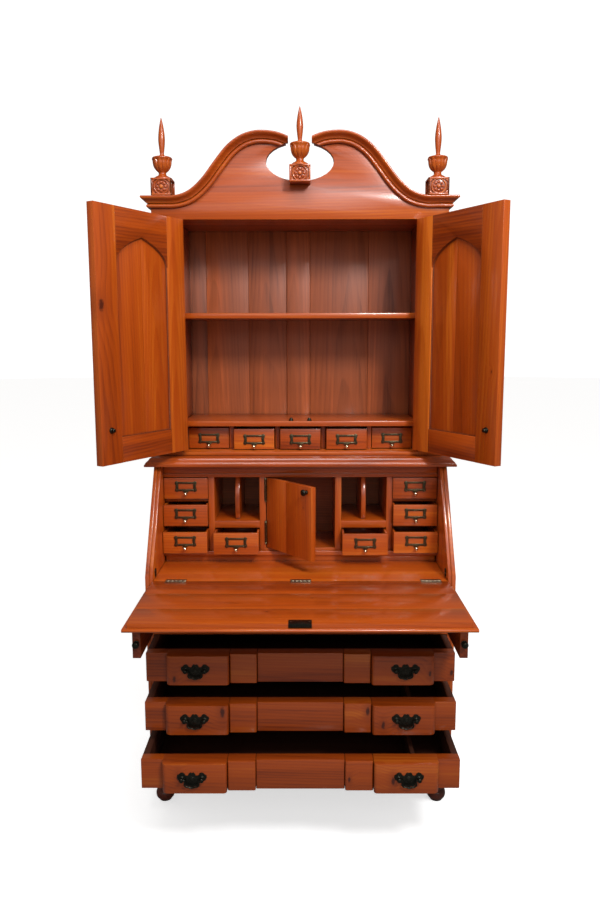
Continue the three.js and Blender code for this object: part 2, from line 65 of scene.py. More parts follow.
MM = 0.001
MIDDLE_X = (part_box("lower_side_left")[0].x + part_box("lower_side_right")[1].x) / 2
FRONT_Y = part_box("lower_side_left")[0].y
TO_FRAME = Matrix.Translation((MIDDLE_X, FRONT_Y, 0)) @ Matrix.Scale(MM, 4)


def span(node):
    """A CAD node's box at rest, as x0, x1, y0, y1, z0, z1 in millimetres."""
    back = TO_FRAME.inverted()
    low, high = (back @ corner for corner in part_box(node))
    return low.x, high.x, low.y, high.y, low.z, high.z


SIDES = (("left", -1), ("right", 1))
CASE = "case"
DRAWER_FRONT = {n: span(f"drawer_{n}_front") for n in (1, 2, 3)}
DRAWER_BOX = {n: span(f"drawer_{n}_box") for n in (1, 2, 3)}
FALL = span("fall")
GALLERY = span("gallery")
WAIST = span("waist_moulding")
SHELF = span("upper_shelf")
ROW_CASE = span("drawer_row_case")
UPPER_LEFT = span("upper_side_left")
UPPER_BACK = span("upper_back")
NECK_LEFT = span("swan_neck_left")
HINGE_Y = FALL[3]

# Lower case
CASE_HALF = 480
SIDE_MIDDLE, SIDE_INSIDE = 468, 457
INSIDE_HALF = 456.7
SLOPE_BACK_Y, SLOPE_FOOT_Z = 195, 787
SIDE_SET_BACK = 3.2
GALLERY_FRONT = 232

# Block-front drawers
HANDLE_X = 306
POST_SPREAD = 28.5
BLOCK_OUT = 27
FRONT_THICK = 32
SIDE_THICK = 19

# Bookcase
BOOKCASE_HALF, STILE_INSIDE, WALL_INSIDE = 474, 393, 452
STILE_THICK = 22
BOOKCASE_BACK, BOOKCASE_TOP, STILE_TOP = 505, 1959, 1890
ROW_PITCH = 156

# Bookcase doors, in their own frame: s runs from the hinge, z is height.
DOOR_PIVOT_X = 392.5
DOOR_PIVOT_Y = 232
DOOR_OPEN = {"left": 120, "right": 118.5}
DOOR_NEAR, DOOR_FAR = 82, 306
DOOR_LOW, DOOR_SPRING, DOOR_PEAK = 1228, 1732, 1811
DOOR_WIDE = 390.5
DOOR_FACES = (3, 27)
PANEL_FACES = (10, 20)
BEAD_Y, BEAD_INSET, BEAD_RADIUS = 21.2, 1.2, 2.0

PROSPECT_OPEN = 50
PROSPECT_X = -116
PROSPECT_Y = 229
PROSPECT_FACES = (3, 21)

CORNICE_Z = 1925
MITRE_CLEAR = 30
FASCIA_Y = 235
OVAL = {"z": 2066, "half_wide": 107, "half_tall": 58}
CENTRE_FINIAL_Y = 210.7


# ---- settings a user would change ------------------------------------------------------------


def colour_prop(name, description, default):
    return bpy.props.FloatVectorProperty(
        name=name, description=description, default=default, size=3, min=0, max=1, subtype="COLOR"
    )


class SecretarySizes(bpy.types.PropertyGroup):
    """Sizes of the finishing work."""

    edge_round: bpy.props.FloatProperty(
        name="Edge rounding",
        description="Radius taken off the edges of the boards",
        default=1.2 * MM,
        min=0.2 * MM,
        max=3 * MM,
        unit="LENGTH",
        subtype="DISTANCE",
    )
    ring_spacing: bpy.props.FloatProperty(
        name="Ring spacing",
        description="Width of one growth ring in the timber",
        default=9 * MM,
        min=2 * MM,
        max=20 * MM,
        unit="LENGTH",
        subtype="DISTANCE",
    )
    dovetails: bpy.props.IntProperty(
        name="Dovetails", description="Dovetails on each corner of a large drawer", default=3, min=1, max=6
    )
    urn_flutes: bpy.props.IntProperty(
        name="Urn flutes", description="Carved leaves round each finial's urn", default=11, min=6, max=24
    )


class SecretaryColours(bpy.types.PropertyGroup):
    """Colours of the timbers and metals."""

    timber_dark: colour_prop("Timber, dark", "Latewood of the varnished timber", (0.16, 0.020, 0.003))
    timber_mid: colour_prop("Timber, middle", "Body of the varnished timber", (0.40, 0.062, 0.004))
    timber_light: colour_prop("Timber, light", "Palest streaks of the varnished timber", (0.62, 0.150, 0.012))
    back_mid: colour_prop("Back boards", "Body of the bookcase back", (0.33, 0.078, 0.020))
    inside_mid: colour_prop("Drawer lining", "Body of the drawer sides", (0.045, 0.011, 0.004))
    # the feet's colour is set near how dark they show under the case: painted shade
    foot_mid: colour_prop("Feet", "Body of the dark turned feet", (0.11, 0.020, 0.008))
    bronze: colour_prop("Bronze", "Handles, lock plate and dark knobs", (0.055, 0.052, 0.040))
    pull: colour_prop("Pull bronze", "Card-holder pulls and small hinges", (0.17, 0.135, 0.075))
    brass: colour_prop("Brass", "Small polished knobs", (0.82, 0.70, 0.50))
    steel: colour_prop("Steel", "Hinges of the fall", (0.34, 0.28, 0.19))
    floor: colour_prop("Floor", "Studio floor", (0.93, 0.93, 0.93))


def sizes():
    return bpy.context.scene.secretary_sizes


def colours():
    return bpy.context.scene.secretary_colours


# ---- node helpers ----------------------------------------------------------------------------


class Nodes:
    """Short calls for adding and joining the nodes of one tree."""

    def __init__(self, tree):
        self.tree = tree

    def add(self, kind, inputs=None, **settings):
        node = self.tree.nodes.new(kind)
        for name, value in settings.items():
            setattr(node, name, value)
        for name, value in (inputs or {}).items():
            self.feed(value, node.inputs[name])
        return node

    def feed(self, value, socket):
        if isinstance(value, bpy.types.NodeSocket):
            self.tree.links.new(value, socket)
        else:
            socket.default_value = value

    def math(self, operation, a, b=0.0, clamp=False):
        node = self.add("ShaderNodeMath", {0: a, 1: b}, operation=operation, use_clamp=clamp)
        return node.outputs[0]

    def vector(self, operation, a, b=(0.0, 0.0, 0.0)):
        node = self.add("ShaderNodeVectorMath", {0: a}, operation=operation)
        if operation == "SCALE":
            self.feed(b, node.inputs["Scale"])
        elif operation != "LENGTH":
            self.feed(b, node.inputs[1])
        return node.outputs["Value" if operation in ("LENGTH", "DOT_PRODUCT") else "Vector"]

    def noise(self, vector, scale, seed, detail=3.0, roughness=0.5):
        inputs = {"Vector": vector, "Scale": scale, "W": seed, "Detail": detail, "Roughness": roughness}
        return self.add("ShaderNodeTexNoise", inputs, noise_dimensions="4D").outputs["Fac"]

    def ramp(self, value, low, high, to_low=0.0, to_high=1.0):
        inputs = {"Value": value, "From Min": low, "From Max": high, "To Min": to_low, "To Max": to_high}
        return self.add("ShaderNodeMapRange", inputs, interpolation_type="SMOOTHSTEP").outputs["Result"]

    def mix(self, factor, a, b, blend="MIX"):
        node = self.add("ShaderNodeMix", data_type="RGBA", blend_type=blend)
        for index, value in ((0, factor), (6, a), (7, b)):
            self.feed(value, node.inputs[index])
        return node.outputs[2]


def rgba(colour):
    return (*colour, 1.0)


def new_group(name, kind, inputs, outputs):
    """A node group with the given sockets, its helper, and its two end nodes."""
    tree = bpy.data.node_groups.new(name, kind)
    for label, socket, default in inputs:
        made = tree.interface.new_socket(label, in_out="INPUT", socket_type=socket)
        if default is not None:
            made.default_value = default
    for label, socket in outputs:
        tree.interface.new_socket(label, in_out="OUTPUT", socket_type=socket)
    nodes = Nodes(tree)
    return tree, nodes, nodes.add("NodeGroupInput").outputs, nodes.add("NodeGroupOutput").inputs


def timber_figure():
    """Growth rings, streaks, pores and a knot, from coordinates whose X runs along the grain."""
    name = "timber_figure"
    if name in bpy.data.node_groups:
        return bpy.data.node_groups[name]
    tree, n, given, out = new_group(
        name,
        "ShaderNodeTree",
        [
            ("Grain", "NodeSocketVector", None),
            ("Knot", "NodeSocketVector", None),
            ("Seed", "NodeSocketFloat", 0.0),
            ("Tone", "NodeSocketFloat", 0.0),
            ("Dark", "NodeSocketColor", None),
            ("Middle", "NodeSocketColor", None),
            ("Light", "NodeSocketColor", None),
            ("Ring Spacing", "NodeSocketFloat", 0.009),
            ("Contrast", "NodeSocketFloat", 1.0),
        ],
        [("Color", "NodeSocketColor"), ("Gloss", "NodeSocketFloat"), ("Height", "NodeSocketFloat")],
    )
    grain, seed = given["Grain"], given["Seed"]
    stretched = n.vector("MULTIPLY", grain, (0.07, 1.0, 1.0))
    long_stretched = n.vector("MULTIPLY", grain, (0.02, 1.0, 1.0))
    # a knot pushes the rings aside
    knot_far = n.vector("LENGTH", n.vector("MULTIPLY", given["Knot"], (0.55, 1.0, 0.25)))
    knot_push = n.math("MULTIPLY", n.ramp(knot_far, 0.0, 0.035, 1.0, 0.0), 0.012)
    wander = n.math("MULTIPLY", n.math("SUBTRACT", n.noise(stretched, 9.0, seed, 2.0), 0.5), 0.05)
    parts = n.add("ShaderNodeSeparateXYZ", {0: grain}).outputs
    across = n.add("ShaderNodeCombineXYZ", {"Y": parts["Y"], "Z": parts["Z"]}).outputs[0]
    radius = n.math("ADD", n.vector("LENGTH", across), n.math("MULTIPLY", parts["X"], 0.03))
    radius = n.math("ADD", n.math("ADD", radius, wander), knot_push)
    ring = n.math("FRACT", n.math("DIVIDE", radius, given["Ring Spacing"]))
    late = n.math("MULTIPLY", n.ramp(ring, 0.25, 0.9), n.ramp(ring, 0.93, 1.0, 1.0, 0.0))
    # broad and narrow streaks along the grain
    broad = n.noise(long_stretched, 22.0, seed, 2.0, 0.6)
    narrow = n.noise(long_stretched, 110.0, seed, 3.0, 0.6)
    fibre = n.noise(long_stretched, 900.0, seed, 2.0, 0.6)
    cloud = n.noise(stretched, 7.0, n.math("ADD", seed, 4.0), 2.0)
    value = n.math("MULTIPLY", n.math("SUBTRACT", broad, 0.5), 1.0)
    value = n.math("ADD", value, n.math("MULTIPLY", n.math("SUBTRACT", narrow, 0.5), 0.5))
    value = n.math("ADD", value, n.math("MULTIPLY", n.math("SUBTRACT", fibre, 0.5), 0.35))
    value = n.math("ADD", value, n.math("MULTIPLY", n.math("SUBTRACT", cloud, 0.5), 0.9))
    value = n.math("SUBTRACT", value, n.math("MULTIPLY", late, 0.13))
    value = n.math("MULTIPLY", value, given["Contrast"])
    value = n.math("ADD", n.math("ADD", value, 0.53), n.math("MULTIPLY", given["Tone"], 0.22), clamp=True)
    colour = n.mix(n.ramp(value, 0.0, 0.55), given["Dark"], given["Middle"])
    colour = n.mix(n.ramp(value, 0.5, 1.05), colour, given["Light"])
    # the knot itself: a dark eye with a darker rim
    rough_far = n.math("ADD", knot_far, n.math("MULTIPLY", n.noise(grain, 160.0, seed, 2.0), 0.005))
    halo = n.math("MULTIPLY", n.ramp(rough_far, 0.004, 0.019, 1.0, 0.0), 0.7)
    eye = n.ramp(rough_far, 0.0045, 0.0075, 1.0, 0.0)
    colour = n.mix(halo, colour, n.mix(0.45, given["Dark"], given["Middle"]))
    colour = n.mix(eye, colour, n.mix(0.6, given["Dark"], (0.01, 0.003, 0.002, 1.0)))
    n.feed(colour, out["Color"])
    n.feed(n.math("ADD", n.math("MULTIPLY", broad, 0.5), n.math("MULTIPLY", fibre, 0.5)), out["Gloss"])
    pores = n.math("MULTIPLY", n.ramp(fibre, 0.36, 0.46), 0.6)
    n.feed(n.math("SUBTRACT", pores, n.math("MULTIPLY", late, 0.25)), out["Height"])
    return tree


def edge_wear():
    """A mask of rubbed edges, and one of hollows from ambient occlusion: painted shade in corners and joints,
    together with the polish and dirt that gather there.
    """
    name = "edge_wear"
    if name in bpy.data.node_groups:
        return bpy.data.node_groups[name]
    tree, n, given, out = new_group(
        name,
        "ShaderNodeTree",
        [
            ("Position", "NodeSocketVector", None),
            ("Edge Width", "NodeSocketFloat", 0.0025),
            ("Corner Reach", "NodeSocketFloat", 0.012),
        ],
        [("Rubbed", "NodeSocketFloat"), ("Shade And Dirt", "NodeSocketFloat")],
    )
    bevel = n.add("ShaderNodeBevel", {"Radius": given["Edge Width"]}, samples=4).outputs["Normal"]
    normal = n.add("ShaderNodeNewGeometry").outputs["Normal"]
    turned = n.math("SUBTRACT", 1.0, n.vector("DOT_PRODUCT", bevel, normal), clamp=True)
    patch = n.noise(given["Position"], 14.0, 2.0, 4.0, 0.7)
    rubbed = n.math("MULTIPLY", n.ramp(turned, 0.02, 0.22), n.ramp(patch, 0.35, 0.62, 0.35, 1.0))
    n.feed(rubbed, out["Rubbed"])
    # ambient occlusion: corners, joints and carved hollows give the painted shade, with the dirt that gathers
    # there
    hollow = n.add("ShaderNodeAmbientOcclusion", {"Distance": given["Corner Reach"]}, samples=4)
    shade_and_dirt = n.math("SUBTRACT", 1.0, hollow.outputs["AO"], clamp=True)
    n.feed(n.math("MULTIPLY", n.ramp(shade_and_dirt, 0.25, 0.85), n.ramp(patch, 0.2, 0.7, 0.6, 1.0)), out["Shade And Dirt"])
    return tree


def placed_group(n, tree, inputs):
    node = n.add("ShaderNodeGroup", node_tree=tree)
    for name, value in inputs.items():
        n.feed(value, node.inputs[name])
    return node.outputs


def new_material(name, preview):
    material = bpy.data.materials.new(name)
    material.use_nodes = True
    material.diffuse_color = rgba(preview)
    n = Nodes(material.node_tree)
    return material, n, material.node_tree.nodes["Principled BSDF"].inputs


def scaled(colour, factor):
    return tuple(min(1.0, channel * factor) for channel in colour)


def timber(name, middle, dark=None, light=None, contrast=1.0, gloss=0.3, coat=0.55, from_object=False):
    """Varnished timber. Pieces built here carry their grain; a CAD node takes it from its own place."""
    if name in bpy.data.materials:
        return bpy.data.materials[name]
    material, n, shader = new_material(name, middle)
    place = n.add("ShaderNodeTexCoord").outputs["Object"]
    if from_object:
        grain, knot, seed, tone = n.vector("ADD", place, (0.0, 0.06, 0.05)), (9.0, 9.0, 9.0), 3.0, 0.0
    else:
        grain = n.add("ShaderNodeAttribute", attribute_name="grain").outputs["Vector"]
        knot = n.add("ShaderNodeAttribute", attribute_name="knot").outputs["Vector"]
        board = n.add("ShaderNodeAttribute", attribute_name="board").outputs["Vector"]
        split = n.add("ShaderNodeSeparateXYZ", {0: board}).outputs
        seed, tone = split["X"], split["Y"]
    figure = placed_group(
        n,
        timber_figure(),
        {
            "Grain": grain,
            "Knot": knot,
            "Seed": seed,
            "Tone": tone,
            "Dark": rgba(dark or scaled(middle, 0.42)),
            "Middle": rgba(middle),
            "Light": rgba(light or scaled(middle, 1.7)),
            "Ring Spacing": sizes().ring_spacing,
            "Contrast": contrast,
        },
    )
    wear_and_shade = placed_group(n, edge_wear(), {"Position": place})
    rubbed = n.math("MULTIPLY", wear_and_shade["Rubbed"], 0.55)
    pale = n.mix(rubbed, figure["Color"], rgba(light or scaled(middle, 1.9)))
    # corners and joints darkened towards a tenth of the body colour by the occlusion mask: painted shade, with
    # the dirt that gathers there
    colour = n.mix(n.math("MULTIPLY", wear_and_shade["Shade And Dirt"], 0.75), pale, rgba(scaled(middle, 0.12)))
    n.feed(colour, shader["Base Color"])
    n.feed(n.ramp(figure["Gloss"], 0.2, 0.8, gloss + 0.1, gloss - 0.06), shader["Roughness"])
    coat_mask = n.math("SUBTRACT", coat, n.math("MULTIPLY", wear_and_shade["Rubbed"], coat * 0.5), clamp=True)
    n.feed(coat_mask, shader["Coat Weight"])
    shader["Coat Roughness"].default_value = 0.12
    bump = n.add("ShaderNodeBump", {"Height": figure["Height"], "Strength": 0.12, "Distance": 0.0006})
    n.feed(bump.outputs["Normal"], shader["Normal"])
    return material


def metal(name, colour, roughness, tarnish, tarnish_amount):
    """Cast or turned metal with darker tarnish in its hollows and bright rubbed edges."""
    if name in bpy.data.materials:
        return bpy.data.materials[name]
    material, n, shader = new_material(name, colour)
    place = n.add("ShaderNodeTexCoord").outputs["Object"]
    wear_and_shade = placed_group(n, edge_wear(), {"Position": place, "Edge Width": 0.0012, "Corner Reach": 0.005})
    blotch = n.noise(place, 160.0, 1.0, 4.0, 0.65)
    fine = n.noise(place, 900.0, 5.0, 3.0)
    dull = n.ramp(blotch, 0.35, 0.7, 0.0, tarnish_amount)
    body = n.mix(dull, rgba(colour), rgba(tarnish))
    body = n.mix(n.math("MULTIPLY", wear_and_shade["Rubbed"], 0.7), body, rgba(scaled(colour, 2.2)))
    n.feed(n.mix(wear_and_shade["Shade And Dirt"], body, rgba(scaled(tarnish, 0.5))), shader["Base Color"])
    n.feed(n.math("ADD", n.math("MULTIPLY", dull, 0.3), roughness), shader["Roughness"])
    shader["Metallic"].default_value = 1.0
    bump = n.add("ShaderNodeBump", {"Height": fine, "Strength": 0.1, "Distance": 0.0003})
    n.feed(bump.outputs["Normal"], shader["Normal"])
    return material


def varnished():
    c = colours()
    return timber("varnished_timber", c.timber_mid, c.timber_dark, c.timber_light)


def varnished_in_place():
    c = colours()
    return timber("varnished_rails", c.timber_mid, c.timber_dark, c.timber_light, from_object=True)


def drawer_front_timber():
    c = colours()
    # the case's timber scaled to 0.74: painted shade from the fall and the drawers above, on the drawer fronts,
    # the lopers and the base frame
    dark, mid, light = (scaled(x, 0.74) for x in (c.timber_dark, c.timber_mid, c.timber_light))
    return timber("drawer_front_timber", mid, dark, light, contrast=1.0, gloss=0.33, coat=0.4)


def carved_timber():
    c = colours()
    return timber("carved_timber", c.timber_mid, c.timber_dark, c.timber_light, contrast=0.7, gloss=0.34)


def back_timber():
    return timber("back_timber", colours().back_mid, contrast=1.1, gloss=0.45, coat=0.15)


def lining_timber():
    return timber("lining_timber", colours().inside_mid, contrast=1.0, gloss=0.5, coat=0.1)


def foot_timber():
    # a darker timber for the feet: painted shade from under the case
    return timber("foot_timber", colours().foot_mid, contrast=0.8, gloss=0.3)


def bead_timber():
    # the bead at 0.45 of the timber's colour: a painted shadow line where the door's panel sinks below its
    # frame
    middle = scaled(colours().timber_mid, 0.45)
    return timber("bead_timber", middle, gloss=0.6, coat=0.0, from_object=True)


def bronze():
    return metal("antique_bronze", colours().bronze, 0.34, (0.02, 0.022, 0.018), 0.7)


def brass():
    return metal("polished_brass", colours().brass, 0.16, (0.25, 0.17, 0.08), 0.25)


def pull_bronze():
    return metal("pull_bronze", colours().pull, 0.3, (0.03, 0.026, 0.018), 0.55)


def steel():
    return metal("hinge_steel", colours().steel, 0.32, (0.2, 0.17, 0.13), 0.4)


# ---- outlines --------------------------------------------------------------------------------


def smoothed(points, steps=6):
    """A curve through the points. A point given twice running stays a sharp corner."""
    runs, run = [], [points[0]]
    for point in points[1:]:
        if point == run[-1]:
            runs.append(run)
            run = [point]
        else:
            run.append(point)
    runs.append(run)
    out = []
    for run in runs:
        if len(run) < 3:
            out += [Vector(p) for p in run]
            continue
        padded = [Vector(p) for p in (run[0], *run, run[-1])]
        for a, b, c, d in zip(padded, padded[1:], padded[2:], padded[3:]):
            for i in range(steps):
                t = i / steps
                out.append(
                    0.5 * (2 * b + (c - a) * t + (2 * a - 5 * b + 4 * c - d) * t**2
                           + (3 * b - a - 3 * c + d) * t**3)
                )
        out.append(padded[-1])
    kept = [out[0]]
    for point in out[1:]:
        if (point - kept[-1]).length > 1e-3:
            kept.append(point)
    return kept


def rounded_outline(x0, x1, y0, y1, left, right, steps=5):
    """A rectangle whose two corners on its y0 edge are rounded by the radii left and right."""
    points = [(x1, y1), (x0, y1)]
    for cx, radius, start in ((x0 + left, left, math.pi), (x1 - right, right, 1.5 * math.pi)):
        for i in range(steps + 1):
            a = start + i * math.pi / 2 / steps
            points.append((cx + radius * math.cos(a), y0 + radius + radius * math.sin(a)))
    return points


def ring(radius, count, squash=1.0):
    turn = 2 * math.pi / count
    return [(radius * math.cos(i * turn), squash * radius * math.sin(i * turn)) for i in range(count)]


def mirrored(half, across=(-1, 1)):
    """Half an outline and its mirror image, joined at the half's last point."""
    return half + [Vector((across[0] * p.x, across[1] * p.y)) for p in reversed(half[:-1])]


def shifted(mesh, x, y, z):
    """A mesh already in the frame's metres, moved by millimetres."""
    mesh.transform(Matrix.Translation(Vector((x, y, z)) * MM))
    return mesh


def at(x, y, z):
    """The move from the frame's origin to a place on the desk."""
    return Matrix.Translation(TO_FRAME @ Vector((x, y, z)))


# ---- joinery: boards, turnings and runs gathered into one mesh --------------------------------

AXES = {"x": (0, 1, 2), "y": (1, 0, 2), "z": (2, 0, 1)}
NO_KNOT = Vector((9000.0, 9000.0, 9000.0))


class Joinery:
    """Parts gathered into one mesh. Each part has its own grain, tone and place."""

    def __init__(self, name, turn=Matrix(), tone=0.0, grain="x"):
        self.name = name
        self.turn = turn
        self.tone = tone
        self.grain = grain
        self.rng = random.Random(name)
        self.verts, self.faces, self.smooth, self.loops = [], [], [], []

    def gather(self, part, grain=None, tone=None, knot=None):
        """Takes in a part's mesh, and works out its grain from where it lies before it is turned."""
        bmesh.ops.recalc_face_normals(part, faces=part.faces)
        tone = self.tone + self.rng.uniform(-0.5, 0.5) if tone is None else tone
        u, v, w = AXES[grain or self.grain]
        middle = sum((vert.co for vert in part.verts), Vector()) / len(part.verts)
        along = self.rng.uniform(0, 2500)
        pith = (self.rng.uniform(-70, 70), self.rng.uniform(35, 110))
        seed = self.rng.uniform(0, 60)
        eye, grown_by = (Vector(knot[:3]), knot[3] if len(knot) > 3 else 1.0) if knot else (None, 1.0)
        first = len(self.verts)
        part.verts.index_update()
        self.verts += [TO_FRAME @ self.turn @ vert.co for vert in part.verts]
        for face in part.faces:
            self.faces.append([first + vert.index for vert in face.verts])
            self.smooth.append(face.smooth)
            for vert in face.verts:
                p = vert.co - middle
                off = (vert.co - eye) / grown_by if eye else NO_KNOT
                grain_at = (p[u] + along, p[v] + pith[0], p[w] + pith[1])
                self.loops.append(
                    ([x * MM for x in grain_at], [off[i] * MM for i in (u, v, w)], (seed, tone, 0.0))
                )
        part.free()
        return self

    def board(self, x0, x1, y0, y1, z0, z1, edge=None, **kind):
        """A squared board with its edges eased."""
        part = bmesh.new()
        bmesh.ops.create_cube(part, size=1)
        for vert in part.verts:
            c = vert.co
            vert.co = ((x0, x1)[c.x > 0], (y0, y1)[c.y > 0], (z0, z1)[c.z > 0])
        return self.gather(ease(part, edge), **kind)

    def sawn(self, outline, axis, low, high, edge=None, **kind):
        """A board sawn to an outline: X, Y for axis z, X, Z for axis y and Y, Z for axis x."""
        part = bmesh.new()
        order = {"x": (2, 0, 1), "y": (0, 2, 1), "z": (0, 1, 2)}[axis]
        ends = []
        for level in (low, high):
            flat = [(p[0], p[1], level) for p in outline]
            ends.append([part.verts.new([f[i] for i in order]) for f in flat])
        part.faces.new(ends[0])
        part.faces.new(ends[1])
        count = len(outline)
        for i in range(count):
            j = (i + 1) % count
            part.faces.new((ends[0][i], ends[0][j], ends[1][j], ends[1][i]))
        bmesh.ops.recalc_face_normals(part, faces=part.faces)
        return self.gather(ease(part, edge, count > 8), **kind)

    def lathe(self, profile, centre, segments=40, axis="z", **kind):
        """A turning from (radius, height) pairs, standing on centre and rising along axis."""
        part = bmesh.new()
        turn = {
            "z": Matrix(),
            "-y": Matrix.Rotation(math.pi / 2, 4, "X"),
            "x": Matrix.Rotation(math.pi / 2, 4, "Y"),
        }[axis]
        rows = []
        for radius, height in profile:
            if radius < 1e-3:
                rows.append([part.verts.new((0, 0, height))] * segments)
            else:
                rows.append([part.verts.new((x, y, height)) for x, y in ring(radius, segments)])
        for low, high in zip(rows, rows[1:]):
            for i in range(segments):
                j = (i + 1) % segments
                corners = []
                for vert in (low[i], low[j], high[j], high[i]):
                    if vert not in corners:
                        corners.append(vert)
                if len(corners) > 2:
                    part.faces.new(corners).smooth = True
        for row in (rows[0], rows[-1]):
            if row[0] is not row[1]:
                part.faces.new(row)
        part.transform(Matrix.Translation(centre) @ turn)
        return self.gather(part, **kind)

    def run(self, rings, **kind):
        """A closed skin through rings of points, capped at both ends."""
        part = bmesh.new()
        rows = [[part.verts.new(p) for p in points] for points in rings]
        for low, high in zip(rows, rows[1:]):
            for i in range(len(low)):
                j = (i + 1) % len(low)
                part.faces.new((low[i], low[j], high[j], high[i])).smooth = True
        part.faces.new(rows[0])
        part.faces.new(rows[-1])
        return self.gather(part, **kind)

    def moulded(self, half, front, back, profile, **kind):
        """A slab moulded on its front and two ends, from (height, how far it stands out) pairs."""
        rings = []
        for z, out in profile:
            x0, x1, y0 = -half - out, half + out, front - out
            rings.append([(x0, y0, z), (x1, y0, z), (x1, back, z), (x0, back, z)])
        return self.run(rings, **kind)

    def mesh(self):
        """The gathered parts as one plain mesh, in the frame's metres."""
        made = bpy.data.meshes.new(self.name)
        made.from_pydata(self.verts, [], self.faces)
        made.polygons.foreach_set("use_smooth", self.smooth)
        for index, label in enumerate(("grain", "knot", "board")):
            layer = made.attributes.new(label, "FLOAT_VECTOR", "CORNER")
            layer.data.foreach_set("vector", [x for loop in self.loops for x in loop[index]])
        made.set_sharp_from_angle(angle=math.radians(38))
        return made

    def finish(self, material, body=CASE, stands_for=()):
        return put(self.name, self.mesh(), material, body, stands_for)


def ease(part, edge=None, curved=False):
    """Rounds a part's sharp edges."""
    edge = sizes().edge_round / MM if edge is None else edge
    for face in part.faces:
        face.smooth = curved and len(face.verts) == 4
    sharp = [e for e in part.edges if e.is_manifold and e.calc_face_angle() > math.radians(32)]
    made = bmesh.ops.bevel(
        part, geom=sharp, offset=edge, segments=2, profile=0.5, affect="EDGES", clamp_overlap=True
    )
    for face in made["faces"]:
        face.smooth = True
    return part


def put(name, mesh, material, body, stands_for=()):
    """Makes a finished mesh a piece of the desk."""
    piece = bpy.data.objects.new(name, mesh)
    bpy.context.scene.collection.objects.link(piece)
    if material:
        mesh.materials.clear()
        mesh.materials.append(material)
    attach(piece, body)
    if stands_for:
        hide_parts(*stands_for)
    return piece


def dressed(node, grain, material, body=CASE, tone=0.0, edge=None):
    """A CAD node's own shape with its edges eased and its grain set."""
    part = bmesh.new()
    part.from_mesh(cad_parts[node].data)
    part.transform(TO_FRAME.inverted())
    bmesh.ops.remove_doubles(part, verts=part.verts, dist=0.01)
    bmesh.ops.dissolve_limit(part, angle_limit=math.radians(1), verts=part.verts, edges=part.edges)
    work = Joinery(f"{node}_finished", tone=tone, grain=grain)
    work.gather(ease(part, edge, True), tone=tone)
    return work.finish(material, body, [node])


# ---- geometry nodes for what repeats or follows a path ------------------------------------------


def repeat_tree():
    """Copies of a piece in a straight run, in a ring, or both."""
    name = "repeated_piece"
    if name in bpy.data.node_groups:
        return bpy.data.node_groups[name]
    tree, n, given, out = new_group(
        name,
        "GeometryNodeTree",
        [
            ("Piece", "NodeSocketObject", None),
            ("Count", "NodeSocketInt", 3),
            ("Start", "NodeSocketVector", None),
            ("Step", "NodeSocketVector", None),
            ("Turn Step", "NodeSocketFloat", 0.0),
            ("Finish", "NodeSocketMaterial", None),
        ],
        [("Geometry", "NodeSocketGeometry")],
    )
    index = n.add("GeometryNodeInputIndex").outputs[0]
    place = n.vector("ADD", given["Start"], n.vector("SCALE", given["Step"], index))
    points = n.add("GeometryNodePoints", {"Count": given["Count"], "Position": place}).outputs[0]
    turn = n.add("ShaderNodeCombineXYZ", {"Z": n.math("MULTIPLY", index, given["Turn Step"])}).outputs[0]
    source = n.add("GeometryNodeObjectInfo", {"Object": given["Piece"]}).outputs["Geometry"]
    copies = n.add("GeometryNodeInstanceOnPoints", {"Points": points, "Instance": source, "Rotation": turn})
    real = n.add("GeometryNodeRealizeInstances", {"Geometry": copies.outputs[0]})
    ended = n.add("GeometryNodeSetMaterial", {"Geometry": real.outputs[0], "Material": given["Finish"]})
    n.feed(ended.outputs[0], out["Geometry"])
    return tree


def rod_tree():
    """A round rod along a path, thicker in its middle."""
    name = "rod_on_path"
    if name in bpy.data.node_groups:
        return bpy.data.node_groups[name]
    tree, n, given, out = new_group(
        name,
        "GeometryNodeTree",
        [
            ("Path", "NodeSocketObject", None),
            ("Radius", "NodeSocketFloat", 0.003),
            ("Swell", "NodeSocketFloat", 0.0),
            ("Sides", "NodeSocketInt", 12),
            ("Finish", "NodeSocketMaterial", None),
        ],
        [("Geometry", "NodeSocketGeometry")],
    )
    path = n.add("GeometryNodeObjectInfo", {"Object": given["Path"]}).outputs["Geometry"]
    factor = n.add("GeometryNodeSplineParameter").outputs["Factor"]
    bulge = n.math("SINE", n.math("MULTIPLY", factor, math.pi))
    bulge = n.math("MULTIPLY", n.math("POWER", bulge, 4.0), given["Swell"])
    thick = n.add("GeometryNodeSetCurveRadius", {"Curve": path, "Radius": n.math("ADD", bulge, 1.0)})
    round_section = n.add(
        "GeometryNodeCurvePrimitiveCircle", {"Resolution": given["Sides"], "Radius": given["Radius"]}
    )
    skin = n.add(
        "GeometryNodeCurveToMesh",
        {"Curve": thick.outputs[0], "Profile Curve": round_section.outputs[0], "Fill Caps": True},
    )
    real = n.add("GeometryNodeRealizeInstances", {"Geometry": skin.outputs[0]})
    ended = n.add("GeometryNodeSetMaterial", {"Geometry": real.outputs[0], "Material": given["Finish"]})
    n.feed(ended.outputs[0], out["Geometry"])
    return tree


